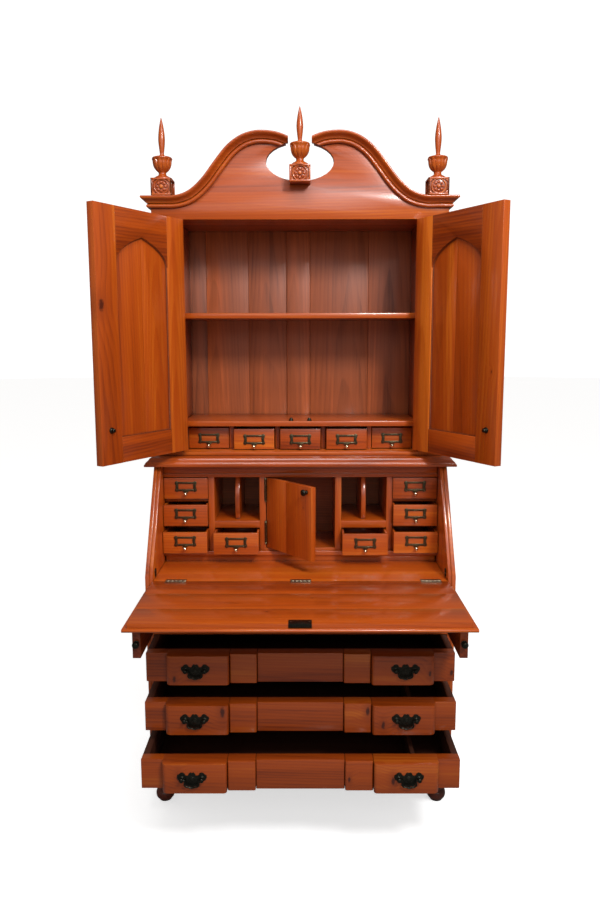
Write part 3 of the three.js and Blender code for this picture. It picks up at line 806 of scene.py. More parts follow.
def grown(name, tree, **inputs):
    """The plain mesh that a geometry node tree makes from these inputs."""
    holder = bpy.data.objects.new(name, bpy.data.meshes.new(name))
    bpy.context.scene.collection.objects.link(holder)
    modifier = holder.modifiers.new(tree.name, "NODES")
    modifier.node_group = tree
    labels = {label.replace("_", " ").title(): value for label, value in inputs.items()}
    for item in tree.interface.items_tree:
        if item.item_type == "SOCKET" and item.in_out == "INPUT" and item.name in labels:
            modifier[item.identifier] = labels.pop(item.name)
    if labels:
        raise ValueError(f"{tree.name} has no inputs named {sorted(labels)}")
    graph = bpy.context.evaluated_depsgraph_get()
    graph.update()
    made = bpy.data.meshes.new_from_object(holder.evaluated_get(graph), depsgraph=graph)
    bpy.data.objects.remove(holder)
    if not made.polygons:
        raise ValueError(f"{name} came out empty")
    made.name = name
    return made


def helper_object(name, data):
    """An object that only feeds a tree. discard() takes it away again."""
    made = bpy.data.objects.new(name, data)
    bpy.context.scene.collection.objects.link(made)
    return made


def discard(*objects):
    for o in objects:
        bpy.data.objects.remove(o)


def path_object(name, points, closed=False):
    """A smooth curve through points already in the frame's metres."""
    curve = bpy.data.curves.new(name, "CURVE")
    curve.dimensions = "3D"
    spline = curve.splines.new("POLY")
    spline.points.add(len(points) - 1)
    for target, point in zip(spline.points, points):
        target.co = (*point, 1.0)
    spline.use_cyclic_u = closed
    return helper_object(name, curve)


def repeated(name, piece_mesh, material, body, slot, **inputs):
    """A piece made of copies of one small mesh, by the repeat tree."""
    source = helper_object(f"{name}_source", piece_mesh)
    made = grown(name, repeat_tree(), piece=source, finish=material, **inputs)
    discard(source)
    return put(name, made, None, body)


def smooth_rod(name, points, radius, swell, material, body, closed=False, turn=Matrix()):
    path = path_object(f"{name}_path", [TO_FRAME @ turn @ Vector(p) for p in points], closed)
    made = grown(name, rod_tree(), path=path, radius=radius * MM, swell=swell, finish=material)
    discard(path)
    made.polygons.foreach_set("use_smooth", [True] * len(made.polygons))
    return put(name, made, None, body)


# ---- the desk's pieces ---------------------------------------------------------------------------


# Turned foot: radius and height, from the pad, over the bun and the waist to the collar
FOOT_PROFILE = [
    (0, 0), (20, 0), (20, 0), (21.5, 3), (22.5, 7), (22.5, 7), (27.5, 10.5), (30.3, 20), (29, 31),
    (24.5, 36.5), (20.5, 39), (20.5, 39), (19, 46), (17, 56), (17.5, 66), (19, 72), (19, 72), (23, 74),
    (24, 80), (22.5, 85), (22.5, 85), (24, 91), (28, 98), (29, 103), (29, 103), (29, 109.7), (0, 109.7),
]
# Waist moulding: height and how far it stands out, from its square foot up to the bookcase
WAIST_PROFILE = [
    (1102.3, 26.5), (1104, 27.8), (1104, 27.8), (1109, 27.8), (1109, 27.8), (1110.5, 25.5), (1113, 25),
    (1118, 21), (1122, 16.5), (1125, 14), (1125, 14), (1128, 12), (1130, 9),
]


def build_feet_and_base():
    profile = smoothed(FOOT_PROFILE)
    for end in ("front", "back"):
        for side, _ in SIDES:
            node = f"foot_{end}_{side}"
            x0, x1, y0, y1, _, _ = span(node)
            foot = Joinery(f"{node}_turned", grain="z", tone=-0.3)
            foot.lathe(profile, ((x0 + x1) / 2, (y0 + y1) / 2, 0), 48)
            foot.finish(foot_timber(), stands_for=[node])
    dressed("base_frame", "x", drawer_front_timber(), edge=1.5)


def build_lower_case():
    for side, sign in SIDES:
        x0, x1, y0, y1, z0, z1 = span(f"lower_side_{side}")
        work = Joinery(f"lower_side_{side}_boards", grain="z", tone=0.2)
        layers = (
            (CASE_HALF, SIDE_MIDDLE, 0, 0.35),
            (SIDE_MIDDLE + 0.2, SIDE_INSIDE, SIDE_SET_BACK, 0.1),
        )
        for near, far, set_back, tone in layers:
            outline = [(y0, z0), (y1, z0), (y1, z1)]
            outline += [(SLOPE_BACK_Y + set_back, z1), (y0 + set_back, SLOPE_FOOT_Z)]
            outline += [(y0 + set_back, 700), (y0, 696)] if set_back else []
            work.sawn(outline, "x", *sorted((sign * near, sign * far)), edge=1.8, tone=tone)
        work.finish(varnished(), stands_for=[f"lower_side_{side}"])
        stay = Joinery(f"lid_stay_{side}")
        stay.board(*sorted((sign * 456.9, sign * 453.5)), 38, 52, 776, 800, edge=1.2)
        stay.lathe([(0, 0), (4, 0), (3.4, 1.6), (0, 2.4)], (sign * 455.5, 38, 791), 14, "-y")
        stay.finish(bronze(), CASE)
    dressed("writing_bed", "x", varnished(), tone=0.1)
    for node in ("rail_bottom", "rail_lower", "rail_upper", "frieze", "upper_top"):
        finish_node(node, varnished_in_place())
    finish_node("lower_back", timber("case_back", colours().back_mid, gloss=0.5, coat=0.1, from_object=True))
    waist = Joinery("waist_moulding_run", tone=0.3)
    waist.moulded(CASE_HALF, SLOPE_BACK_Y, WAIST[3], smoothed(WAIST_PROFILE, 4))
    waist.finish(varnished(), stands_for=["waist_moulding"])


def finish_node(node, material):
    """Gives a CAD node its finish where its shape is already right."""
    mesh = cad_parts[node].data
    mesh.materials.clear()
    mesh.materials.append(material)


def screw_mesh(radius=2.6):
    """A countersunk screw head with its slot, facing +Z."""
    screw = Joinery("screw")
    screw.lathe([(radius, 0.0), (radius, 0.35), (radius * 0.55, 0.9), (0.0, 0.9)], (0, 0, 0), 12)
    screw.board(-radius * 0.85, radius * 0.85, -0.35, 0.35, 0.86, 1.0, edge=0.05)
    return screw.mesh()


def build_fall():
    x0, x1, y0, y1, z0, z1 = FALL
    joints = (-353, -238, -112, HINGE_Y)
    fall = Joinery("fall_boards", tone=0.35)
    for i, (near, far) in enumerate(zip(joints, joints[1:])):
        knot = ((-92, -262, z1, 0.7), (34, -150, z1, 0.45), None)[i]
        tone = (0.5, 0.15, 0.3)[i]
        fall.board(-INSIDE_HALF, INSIDE_HALF, near, far, z0 + 0.6, z1, edge=0.5, tone=tone, knot=knot)
    lip = [(y0 + 4, z0), (y1 - 12, z0), (y1 - 12, z0 + 9.5), (y0 + 5, z0 + 9.5)]
    lip += [(y0 + 5 - 5 * math.sin(a), z0 + 4.75 + 4.75 * math.cos(a)) for a in (0.5, 1.0, 1.57, 2.1, 2.7)]
    fall.sawn(lip, "x", x0, x1, edge=2.5, tone=0.7)
    fall.finish(varnished(), "fall", stands_for=["fall"])
    # lock plate let into the edge opposite the hinges
    plate = Joinery("fall_lock_plate")
    plate.board(-31, 31, -353.8, -325, z1 - 0.5, z1 + 0.9, edge=0.5)
    plate.board(-31, 31, -354.4, -352, z1 - 12, z1 + 0.8, edge=0.5)
    plate.board(-11, 11, -347, -340, z1 + 0.6, z1 + 1.5, edge=0.4)
    plate.finish(bronze(), "fall")
    screw = shifted(screw_mesh(), -25, -339, z1 + 0.6)
    repeated("fall_lock_screws", screw, steel(), "fall", "bronze", count=2, step=(50 * MM, 0, 0))
    # hinges: one leaf on the bed, one on the fall, and the knuckles between them
    centres = (-386, 1, 404)
    for body, name, near, far in (("fall", "fall_hinge_leaves", -11, 4.2), (CASE, "bed_hinge_leaves", 6, 22)):
        leaves = Joinery(name)
        for x in centres:
            leaves.board(x - 32, x + 32, near + (body == CASE), far, z1 - 0.6, z1 + 0.7, edge=0.3)
        leaves.finish(steel(), body)
    barrel = Joinery("hinge_knuckle")
    barrel.lathe([(0, 0), (2.3, 0), (2.6, 0.4), (2.6, 11.8), (2.3, 12.2), (0, 12.2)], (0, 0, 0), 16, "x")
    for i, x in enumerate(centres):
        knuckle = shifted(barrel.mesh(), x - 31.5, HINGE_Y, z1)
        name = f"fall_hinge_{i + 1}_knuckles"
        repeated(name, knuckle, steel(), CASE, "bronze", count=5, step=(12.6 * MM, 0, 0))


def build_lopers():
    knob = [(0, 0), (5, 0), (5, 0), (4, 3), (4.2, 6), (8, 9), (9.6, 13), (7.5, 17), (3, 18.6), (0, 18.8)]
    collar = [(0, 0), (8.5, 0), (8.5, 0.8), (7, 1.6), (0, 1.6)]
    for side, sign in SIDES:
        node = f"loper_{side}"
        x0, x1, _, y1, z0, z1 = span(node)
        y0, middle, knob_z = -300, (x0 + x1) / 2, z0 + 42
        bar = Joinery(f"{node}_bar", grain="y", tone=-0.9)
        bar.board(x0, x1, y0, y1, z0, z1, edge=1.5)
        bar.finish(drawer_front_timber(), node, stands_for=[node])
        pull = Joinery(f"{node}_knob")
        pull.lathe(smoothed(knob, 4), (middle, y0 + 0.5, knob_z), 24, "-y")
        pull.lathe(collar, (middle, y0 + 0.3, knob_z), 24, "-y")
        pull.finish(bronze(), node)


# Knots of each large drawer's front, by segment: x, height above its foot and size
FRONT_KNOTS = {
    1: {"left block": (-368, 18, 0.6), "right end": (446, 27, 0.6), "right block": (378, 36, 0.55)},
    2: {"left block": (-225, 70, 1.0), "right step": (196, 66, 0.8), "right block": (240, 30, 0.7)},
    3: {"right block": (262, 38, 0.8), "left block": (-345, 50, 0.7), "right step": (139, 34, 0.5)},
}
FRONT_TONES = {"left end": -0.1, "left block": 0.1, "left step": 0.25, "centre": 0.0, "right step": 0.2,
               "right block": 0.1, "right end": -0.2}


# The block front's seven pieces: name, x0, x1, how far each stands out, corner radii
FRONT_SEGMENTS = (
    ("left end", -455, -391.2, 0, 2, 2),
    ("left block", -392, -208.4, BLOCK_OUT, 15, 9),
    ("left step", -207.6, -127.4, 12, 5, 5),
    ("centre", -126.6, 126.6, 3, 3, 3),
    ("right step", 127.4, 207.6, 12, 5, 5),
    ("right block", 208.4, 392, BLOCK_OUT, 9, 15),
    ("right end", 391.2, 455, 0, 2, 2),
)


def build_drawers():
    for number, (_, _, _, y1, z0, z1) in DRAWER_FRONT.items():
        body = f"drawer_{number}"
        face = y1 - FRONT_THICK
        front = Joinery(f"{body}_front_board", tone=0.1)
        for label, x0, x1, out, left, right in FRONT_SEGMENTS:
            outline = rounded_outline(x0, x1, face - out, y1, left, right)
            knot = FRONT_KNOTS[number].get(label)
            eye = (knot[0], face - out, z0 + knot[1], knot[2]) if knot else None
            tone = FRONT_TONES[label] + front.rng.uniform(-0.2, 0.2)
            front.sawn(outline, "z", z0, z1, edge=1.8, tone=tone, knot=eye)
        front.finish(drawer_front_timber(), body, [f"{body}_front"])
        x0, x1, y0, y1, z0, z1 = DRAWER_BOX[number]
        box = Joinery(f"{body}_lining", grain="y")
        box.board(x0, x0 + SIDE_THICK, y0, y1, z0, z1, tone=0.9)
        box.board(x1 - SIDE_THICK, x1, y0, y1, z0, z1, tone=0.9)
        box.board(x0 + SIDE_THICK, x1 - SIDE_THICK, y1 - 14, y1 - 0.5, z0 + 1, z1 - 4, grain="x")
        box.board(x0 + 12, x1 - 12, y0, y1 - 8, z0 + 1, z0 + 12, grain="x", tone=-0.4)
        if number > 1:
            box.board(322, 334, y0, y1 - 14, z0 + 11, z1 - 14, tone=-0.2)
        box.finish(lining_timber(), body, [f"{body}_box"])
        add_dovetails(body, x0, x1, y0, z0, z1)


def add_dovetails(body, x0, x1, y0, z0, z1):
    """Lapped dovetails where the sides meet the front, standing a hair proud of the side."""
    count = sizes().dovetails
    pitch = (z1 - z0) / count
    for side, x, sign in (("left", x0, -1), ("right", x1, 1)):
        tail = Joinery("dovetail", grain="y", tone=0.9)
        half = pitch * 0.36
        outline = [(y0 - 17, -half), (y0 + 1, -half * 0.68), (y0 + 1, half * 0.68), (y0 - 17, half)]
        tail.sawn(outline, "x", x - 0.2, x + 0.2 + sign * 0.25, edge=0.1)
        mesh = shifted(tail.mesh(), 0, 0, z0 + pitch / 2)
        repeated(f"{body}_dovetails_{side}", mesh, lining_timber(), body, "drawer_wood",
                 count=count, step=(0, 0, pitch * MM))


def batwing_outline():
    """Half the outline of a pierced bat-wing plate, mirrored to the whole."""
    half = smoothed(
        [(0, 15.5), (4, 17), (8, 14), (10, 9), (10, 9), (14, 8), (18, 10), (20, 14), (20, 14), (25, 17),
         (31, 15.5), (35, 11), (35, 11), (39, 9), (40, 3), (37, -4), (37, -4), (31, -8), (25, -8), (21, -12),
         (21, -12), (18, -18), (12, -22), (6, -22), (6, -22), (3, -25), (0, -26)], 3
    )
    left = [Vector((-p.x, p.y)) for p in reversed(half[1:-1])]
    return half + left


def build_handles():
    post = smoothed(
        [(0, 0), (7.5, 0), (7.5, 1.2), (7.5, 1.2), (5, 2.4), (4.2, 4), (4.2, 9), (5.4, 10), (5.4, 10),
         (6.4, 12), (5.6, 14.5), (3, 15.8), (0, 16.2)], 3
    )
    for number, (_, _, _, y1, z0, z1) in DRAWER_FRONT.items():
        body = f"drawer_{number}"
        face = y1 - FRONT_THICK - BLOCK_OUT
        z = (z0 + z1) / 2 + 3
        plates = Joinery(f"{body}_handle_plates")
        for _, sign in SIDES:
            x = sign * HANDLE_X
            outline = [(x + 1.05 * p.x, z + 1.05 * p.y) for p in batwing_outline()]
            plates.sawn(outline, "y", face - 1.8, face + 0.5, edge=0.7)
            boss = [(0, 0), (10, 0), (9, 1.5), (6.5, 2), (6, 3.4), (3, 4.6), (0, 5)]
            plates.lathe(boss, (x, face - 1.6, z - 4), 28, "-y")
            for end in (-1, 1):
                plates.lathe(post, (x + end * POST_SPREAD, face - 1, z), 24, "-y")
        plates.finish(bronze(), body)
        for side, sign in SIDES:
            centre = sign * HANDLE_X
            half = [(-23.6, -0.4), (-20.6, -2.2), (-18.8, -6), (-19.6, -11), (-20.2, -16), (-16, -20.6),
                    (-9, -22), (-4, -24), (0, -24.6)]
            line = half + [(-x, dz) for x, dz in reversed(half[:-1])]
            points = [(centre + p.x, face - 9, z + p.y) for p in smoothed(line, 4)]
            node = f"{body}_bail_{side}"
            bail = smooth_rod(f"{node}_rod", points, 2.3, 0.35, bronze(), node)
            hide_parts(node)


def build_gallery():
    _, _, y0, y1, _, top = GALLERY
    front, half = GALLERY_FRONT, INSIDE_HALF
    ledge_profile = smoothed(
        [(772.2, 0), (772.2, 0), (787, 0), (787, 0), (789.5, 1.5), (792, 4), (796, 4.6), (800, 4), (803.5, 4),
         (805.4, 3), (806, 1.2)], 3
    )
    gallery = Joinery("gallery_boards", grain="x", tone=0.1)
    gallery.moulded(452.7, y0 + 4.2, y1, ledge_profile, tone=0.0)
    gallery.board(PROSPECT_X - 2, 2 - PROSPECT_X, front, front + 16, 801, 815, edge=2.0, tone=0.4)
    gallery.board(-half, half, front, y1, 1058, 1074, tone=-0.3)
    gallery.board(-half, half, front - 3.8, front + 14, 1058.2, 1071, tone=0.1)
    gallery.board(-half, half, front - 2.6, front + 14, 1071.3, top, edge=2.4, tone=0.3)
    divider = smoothed(
        [(262, 904), (262, 904), (253, 920), (247, 942), (245.5, 965), (248, 992), (255, 1016), (266, 1038),
         (278, 1062), (278, 1062), (490, 1062), (490, 1062), (490, 904)], 5
    )
    for _, sign in SIDES:
        for near, far, tone in ((116, 137, 0.2), (288, 308, 0.3)):
            gallery.board(*sorted((sign * near, sign * far)), front, y1, 801, 1062, grain="z", tone=tone)
        gallery.board(*sorted((sign * 132, sign * 293)), front + 0.4, y1, 884, 908, edge=2.2, tone=0.3)
        gallery.sawn(divider, "x", *sorted((sign * 205, sign * 220)), edge=2.0, grain="z", tone=0.2)
        for shelf in (896, 984):
            gallery.board(*sorted((sign * 303, sign * half)), front + 18, y1, shelf - 13, shelf, tone=-0.6)
    gallery.finish(varnished(), stands_for=["gallery"])


def pull_parts(work, x, face, z):
    """A card-holder pull: two ears with their pins, two rails and a tongue."""
    ear = smoothed([(25, 15), (25, 15), (28, 18), (33, 17.5), (37, 13), (34.5, 6), (33.5, 0)], 3)
    ear = mirrored(ear, (1, -1))
    pin = [(0, 0), (2.6, 0), (2.2, 1.0), (0, 1.3)]
    for sign in (-1, 1):
        work.sawn([(x + sign * p.x, z + p.y) for p in ear], "y", face - 2.6, face + 0.4, edge=0.7)
        for rise in (11, -11):
            work.lathe(pin, (x + sign * 30.5, face - 2.4, z + rise), 12, "-y")
    work.board(x - 27, x + 27, face - 2.8, face + 0.4, z + 9.5, z + 15.5, edge=1.0)
    work.board(x - 27, x + 27, face - 3.4, face + 0.4, z - 15.5, z - 9, edge=1.2)
    tongue = mirrored(smoothed([(-11, -13), (-9, -17), (-5, -20), (-3.6, -25), (0, -27)], 3))
    work.sawn([(x + p.x, z + p.y) for p in tongue], "y", face - 4.2, face + 0.3, edge=1.0)


def add_pull(name, body, x, face, z):
    holder = Joinery(f"{name}_card_holder")
    pull_parts(holder, x, face, z)
    holder.finish(pull_bronze(), body)
    knob = Joinery(f"{name}_knob")
    profile = smoothed(
        [(0, 0), (3.4, 0), (3.4, 0), (2.6, 2), (2.7, 4.5), (5.2, 6.5), (6.3, 10), (5.2, 13.5), (2.4, 15.6),
         (0, 16)], 4
    )
    knob.lathe(profile, (x, face - 3.5, z - 23.5), 24, "-y")
    knob.finish(brass(), body)


def small_drawer(name, x0, x1, y0, y1, z0, z1, tone):
    box = Joinery(f"{name}_box", grain="y", tone=-0.1)
    front = 12
    box.board(x0, x1, y0, y0 + front, z0, z1, edge=1.6, grain="x", tone=tone)
    box.board(x0 + 0.3, x0 + 7, y0 + front, y1, z0, z1 - 1, edge=0.8)
    box.board(x1 - 7, x1 - 0.3, y0 + front, y1, z0, z1 - 1, edge=0.8)
    box.board(x0 + 6, x1 - 6, y1 - 7, y1, z0, z1 - 2, edge=0.8, grain="x")
    box.board(x0 + 4, x1 - 4, y0 + front - 2, y1 - 3, z0 + 0.5, z0 + 5, edge=0.4, grain="x", tone=-0.8)
    box.finish(varnished(), name, [name])


def build_small_drawers():
    kinds = (("column", "_low"), ("column", "_middle"), ("column", "_high"), ("under", ""))
    names = [f"{kind}_drawer_{side}{level}" for side, _ in SIDES for kind, level in kinds]
    names += [f"row_drawer_{i}" for i in range(1, 6)]
    rng = random.Random(7)
    for name in names:
        x0, x1, y0, y1, z0, z1 = span(name)
        small_drawer(name, x0, x1, y0, y1, z0, z1, rng.uniform(0.0, 0.7))
        centre = {"column": 42, "under": 41, "row": 34}[name.split("_")[0]]
        add_pull(name, name, (x0 + x1) / 2, y0, z0 + centre)


def build_prospect_door():
    body = "prospect_door"
    turn = Matrix.Translation((PROSPECT_X, PROSPECT_Y, 0))
    turn @= Matrix.Rotation(math.radians(-PROSPECT_OPEN), 4, "Z")
    door = Joinery("prospect_door_board", turn, 0.3, "z")
    low, high = span("prospect_door")[4:]
    door.board(1.5, 104, *PROSPECT_FACES, low, high, edge=1.0, tone=0.15)
    knot = (190, PROSPECT_FACES[0], 985, 0.35)
    door.board(104, 230.5, *PROSPECT_FACES, low, high, edge=1.0, tone=0.25, knot=knot)
    door.finish(varnished(), body, ["prospect_door"])
    fittings = Joinery("prospect_door_knob", turn)
    knob = smoothed(
        [(0, 0), (7.5, 0), (7.5, 0), (5, 1.6), (4, 4), (4.4, 7), (9, 10), (10.6, 14), (8.6, 18), (4, 20),
         (0, 20.4)], 4
    )
    fittings.lathe(knob, (207, 3.2, 1038), 28, "-y")
    fittings.finish(bronze(), body)
    hinges = Joinery("prospect_hinges")
    barrel = [(0, 0), (2.2, 0), (3.6, 3), (2.6, 5)]
    for i in range(5):
        barrel += [(3.6, 5.6 + i * 14), (3.6, 18 + i * 14), (3.0, 18.6 + i * 14)]
    barrel += [(2.6, 76), (3.6, 78), (2.2, 81), (0, 81)]
    for low in (829, 974):
        hinges.lathe(barrel, (PROSPECT_X, PROSPECT_Y - 0.5, low), 16)
        hinges.board(PROSPECT_X - 5, PROSPECT_X, 230.8, 232.3, low + 3, low + 78, edge=0.4)
    hinges.finish(pull_bronze(), CASE)


def build_bookcase():
    front = UPPER_LEFT[2]
    for side, sign in SIDES:
        boards = Joinery(f"upper_side_{side}_boards", grain="z", tone=0.1)
        wall = sorted((sign * BOOKCASE_HALF, sign * WALL_INSIDE))
        stile = sorted((sign * BOOKCASE_HALF, sign * STILE_INSIDE))
        lining = sorted((sign * (STILE_INSIDE + 18), sign * STILE_INSIDE))
        inner = front + STILE_THICK
        boards.board(*wall, inner, BOOKCASE_BACK, UPPER_LEFT[4], BOOKCASE_TOP)
        boards.board(*stile, front, inner, UPPER_LEFT[4], STILE_TOP, edge=1.5)
        boards.board(*lining, inner, BOOKCASE_BACK, UPPER_LEFT[4], STILE_TOP, tone=-0.5)
        boards.finish(varnished(), stands_for=[f"upper_side_{side}"])
    x0, x1, y0, y1, z0, z1 = UPPER_BACK
    joints = (x0, -335, -185, -50, 35, 243, x1)
    back = Joinery("upper_back_boards", grain="z")
    tones = (-0.6, 0.1, -0.3, 0.7, -0.1, 0.3)
    for near, far, tone in zip(joints, joints[1:], tones):
        back.board(near + 0.2, far - 0.2, y0, y1, z0, z1, edge=1.4, tone=tone)
    # a tongue behind the joints, so that no light comes through them
    back.board(x0 + 2, x1 - 2, y0 + 3, y1 - 1.6, z0 + 2, z1 - 2, edge=0.3, tone=-0.6)
    back.board(-47, 33, y0 - 5, y0 + 1, z0 + 12, z1 - 20, edge=1.4, tone=0.8)
    back.finish(back_timber(), stands_for=["upper_back"])
    x0, x1, y0, y1, z0, z1 = SHELF
    shelf = Joinery("upper_shelf_board", tone=0.4)
    shelf.board(x0, x1, y0, y1, z0, z1, edge=3.5, tone=0.6)
    shelf.finish(varnished(), stands_for=["upper_shelf"])
    x0, x1, y0, y1, z0, z1 = ROW_CASE
    row = Joinery("drawer_row_boards", tone=0.2)
    row.board(x0, x1, y0, y1, z0, 1142, edge=1.5, tone=0.5)
    row.board(x0, x1, y0 + 28, y1, z1 - 18, z1, edge=3.0, tone=0.6)
    for i in range(6):
        x = (i - 2.5) * ROW_PITCH
        row.board(max(x - 8, x0), min(x + 8, x1), 310, y1, 1138, z1 - 14, grain="z", tone=-0.3)
    row.finish(varnished(), stands_for=["drawer_row_case"])
    catches = Joinery("bookcase_catches")
    catch = smoothed([(0, 0), (8, 0), (8, 0), (8, 3), (6, 5), (5, 8), (5, 8), (4, 10), (0, 10.6)], 3)
    for x in (-31, 30):
        catches.lathe(catch, (x, 276, z1 - 0.2), 20)
    catches.finish(bronze(), CASE)


def door_arch(inset):
    """The pointed arch of a door's opening, from one spring to the other over its peak."""
    near, far, peak = DOOR_NEAR + inset, DOOR_FAR - inset, DOOR_PEAK - inset
    middle = (near + far) / 2
    curves = (
        ((far, DOOR_SPRING), (far, DOOR_SPRING + 38), (middle + 42, peak - 12), (middle, peak)),
        ((middle, peak), (middle - 42, peak - 12), (near, DOOR_SPRING + 38), (near, DOOR_SPRING)),
    )
    points = []
    for a, b, c, d in curves:
        for i in range(15):
            t = i / 14
            k = ((1 - t) ** 3, 3 * t * (1 - t) ** 2, 3 * t * t * (1 - t), t**3)
            points.append(Vector([sum(w * p[j] for w, p in zip(k, (a, b, c, d))) for j in (0, 1)]))
    return points[:14] + points[15:]


def build_doors():
    low, high = span("door_frame_left")[4:]
    for side, sign in SIDES:
        body = f"upper_door_{side}"
        turn = Matrix.Translation((sign * DOOR_PIVOT_X, DOOR_PIVOT_Y, 0))
        turn @= Matrix.Rotation(math.radians(sign * DOOR_OPEN[side]), 4, "Z")
        turn @= Matrix.Scale(-sign, 4, (1, 0, 0))
        y0, y1 = DOOR_FACES
        inner = (y0 + 0.1, y1 - 0.1)
        door = Joinery(f"door_{side}_frame", turn, 0.2, "z")
        knot = (372, y1, 1608, 2.6) if side == "left" else (364, y1, 1420, 0.5)
        door.board(0.8, DOOR_NEAR - 0.2, y0, y1, low, high, edge=1.2, tone=0.45)
        door.board(DOOR_FAR + 0.2, DOOR_WIDE, y0, y1, low, high, edge=1.2, tone=0.4, knot=knot)
        door.board(DOOR_NEAR, DOOR_FAR, *inner, low + 0.3, DOOR_LOW, edge=1.2, grain="x", tone=-0.1)
        arch = door_arch(0)
        outline = [(DOOR_NEAR, high - 0.3), (DOOR_FAR, high - 0.3), *arch]
        door.sawn(outline, "y", *inner, edge=1.2, grain="x", tone=-0.8)
        door.finish(varnished(), body, [f"door_frame_{side}"])
        panel = Joinery(f"door_{side}_panel", turn, 0.0, "z")
        wide = door_arch(-4)
        peak = wide[14]
        near, far = wide[-1].x, wide[0].x
        right = [(far, DOOR_LOW - 4), *wide[:15], (peak.x, DOOR_LOW - 4)]
        left = [(peak.x, DOOR_LOW - 4), *wide[14:], (near, DOOR_LOW - 4)]
        panel.sawn(right, "y", *PANEL_FACES, edge=0.4, tone=0.1)
        panel.sawn(left, "y", *PANEL_FACES, edge=0.4, tone=-0.15)
        panel.finish(varnished(), body, [f"door_panel_{side}"])
        near, far, foot = DOOR_NEAR + BEAD_INSET, DOOR_FAR - BEAD_INSET, DOOR_LOW + BEAD_INSET
        bead = [(p.x, p.y) for p in door_arch(BEAD_INSET)]
        bead += [(near, 1600), (near, 1400), (near, foot), (150, foot), (240, foot)]
        bead += [(far, foot), (far, 1400), (far, 1600)]
        bead = [(x, BEAD_Y, z) for x, z in bead]
        smooth_rod(f"door_{side}_bead", bead, BEAD_RADIUS, 0.0, bead_timber(), body, True, turn)
        fittings = Joinery(f"door_{side}_catch", turn)
        catch = smoothed([(0, 0), (9, 0), (9, 0), (9, 2), (6, 3.5), (5, 6), (6.4, 9), (5, 12), (0, 13)], 3)
        fittings.lathe([(r, -h) for r, h in catch], (350, y1, 1252), 20, "-y")
        fittings.finish(bronze(), body)
        knuckles = Joinery(f"door_{side}_hinges", turn)
        for z in (1215, 1760):
            knuckles.lathe([(0, 0), (1.6, 0), (2.3, 2), (2.3, 58), (1.6, 60), (0, 60)], (0, 0, z), 14)
        knuckles.finish(brass(), body)


def neck_path():
    """The swan neck's lower edge, from the outer corner to the break, as X, Z points."""
    return smoothed(
        [(-474.3, CORNICE_Z), (-435, CORNICE_Z), (-402, CORNICE_Z), (-368, 1931), (-336, 1944), (-305, 1967),
         (-275, 1998), (-242, 2041), (-207, 2083), (-173, 2108), (-140, 2119), (-110, 2120), (-80, 2116),
         (-52, 2106), (-24, 2092)], 5
    )


def cornice_section():
    """Height above the lower edge and how far out: a bead, a quirk and a broad cyma under a fillet."""
    return smoothed(
        [(0, 0), (0, 0), (0, 7), (1.5, 9.8), (4, 11.6), (7, 11.8), (10, 10.2), (12, 8), (12, 8), (13.2, 6.5),
         (13.2, 6.5), (14.2, 10.5), (14.2, 10.5), (17, 12), (20, 15), (23, 20), (25.6, 24.6), (28.4, 27.3),
         (31.5, 28.2), (34, 27.6), (35, 26), (35, 26), (35, 0)], 3
    )


def build_pediment():
    dressed("pediment_board", "x", varnished(), tone=0.1, edge=1.6)
    section = cornice_section()
    front = FASCIA_Y - 0.3
    path = neck_path()
    for side, sign in SIDES:
        corner = path[0].x
        rings = [[(corner - out, NECK_LEFT[3], CORNICE_Z + rise) for rise, out in section],
                 [(corner - out, front - out, CORNICE_Z + rise) for rise, out in section]]
        for before, here, after in zip(path, path[1:], path[2:] + [path[-1]]):
            d = (after - before).normalized()
            if here.x > corner + MITRE_CLEAR:
                rings.append([(here.x - d.y * rise, front - out, here.y + d.x * rise) for rise, out in section])
        neck = Joinery(f"swan_neck_{side}_run", tone=0.35)
        turn = Matrix.Scale(-sign, 4, (1, 0, 0))
        rings = [[turn @ Vector(p) for p in points] for points in rings]
        neck.run(rings)
        whole = helper_object("neck_whole", neck.mesh())
        oval = Joinery("oval_cutter")
        squash = OVAL["half_tall"] / OVAL["half_wide"]
        points = [(x, OVAL["z"] + z) for x, z in ring(OVAL["half_wide"], 64, squash)]
        oval.sawn(points, "y", 100, 300, edge=0.01)
        oval.board(*sorted((sign * 37, -sign * 60)), 100, 300, 1990, 2300, edge=0.01)
        cutter = helper_object("oval_cutter", oval.mesh())
        cut = whole.modifiers.new("cut", "BOOLEAN")
        cut.object, cut.operation, cut.solver, cut.use_self = cutter, "DIFFERENCE", "EXACT", True
        graph = bpy.context.evaluated_depsgraph_get()
        made = bpy.data.meshes.new_from_object(whole.evaluated_get(graph), depsgraph=graph)
        discard(whole, cutter)
        made.set_sharp_from_angle(angle=math.radians(38))
        put(f"swan_neck_{side}_moulding", made, varnished(), CASE, [f"swan_neck_{side}"])


URN = [(12, 16), (12, 19), (14, 23), (20, 29.5), (24.2, 37), (26.6, 46), (27.4, 54), (29, 58), (31, 61.5),
       (31.2, 64), (29, 66.5), (20, 69)]
FLAME = [(8, 73), (6.6, 76), (7.4, 83), (9.4, 98), (10.6, 114), (9.4, 130), (6.4, 148), (3.0, 162),
         (1.0, 169)]


# Corner carving of a block's face, and the hoop round its rosette
SPANDREL = ((27.6, 23.2), (27.6, 13), (23, 16.5), (19.5, 21), (18, 23.2))
HOOP = [(19.6, 0), (19.6, 0), (20.4, 2.6), (22.2, 3.6), (24, 2.6), (24.6, 0), (24.6, 0)]


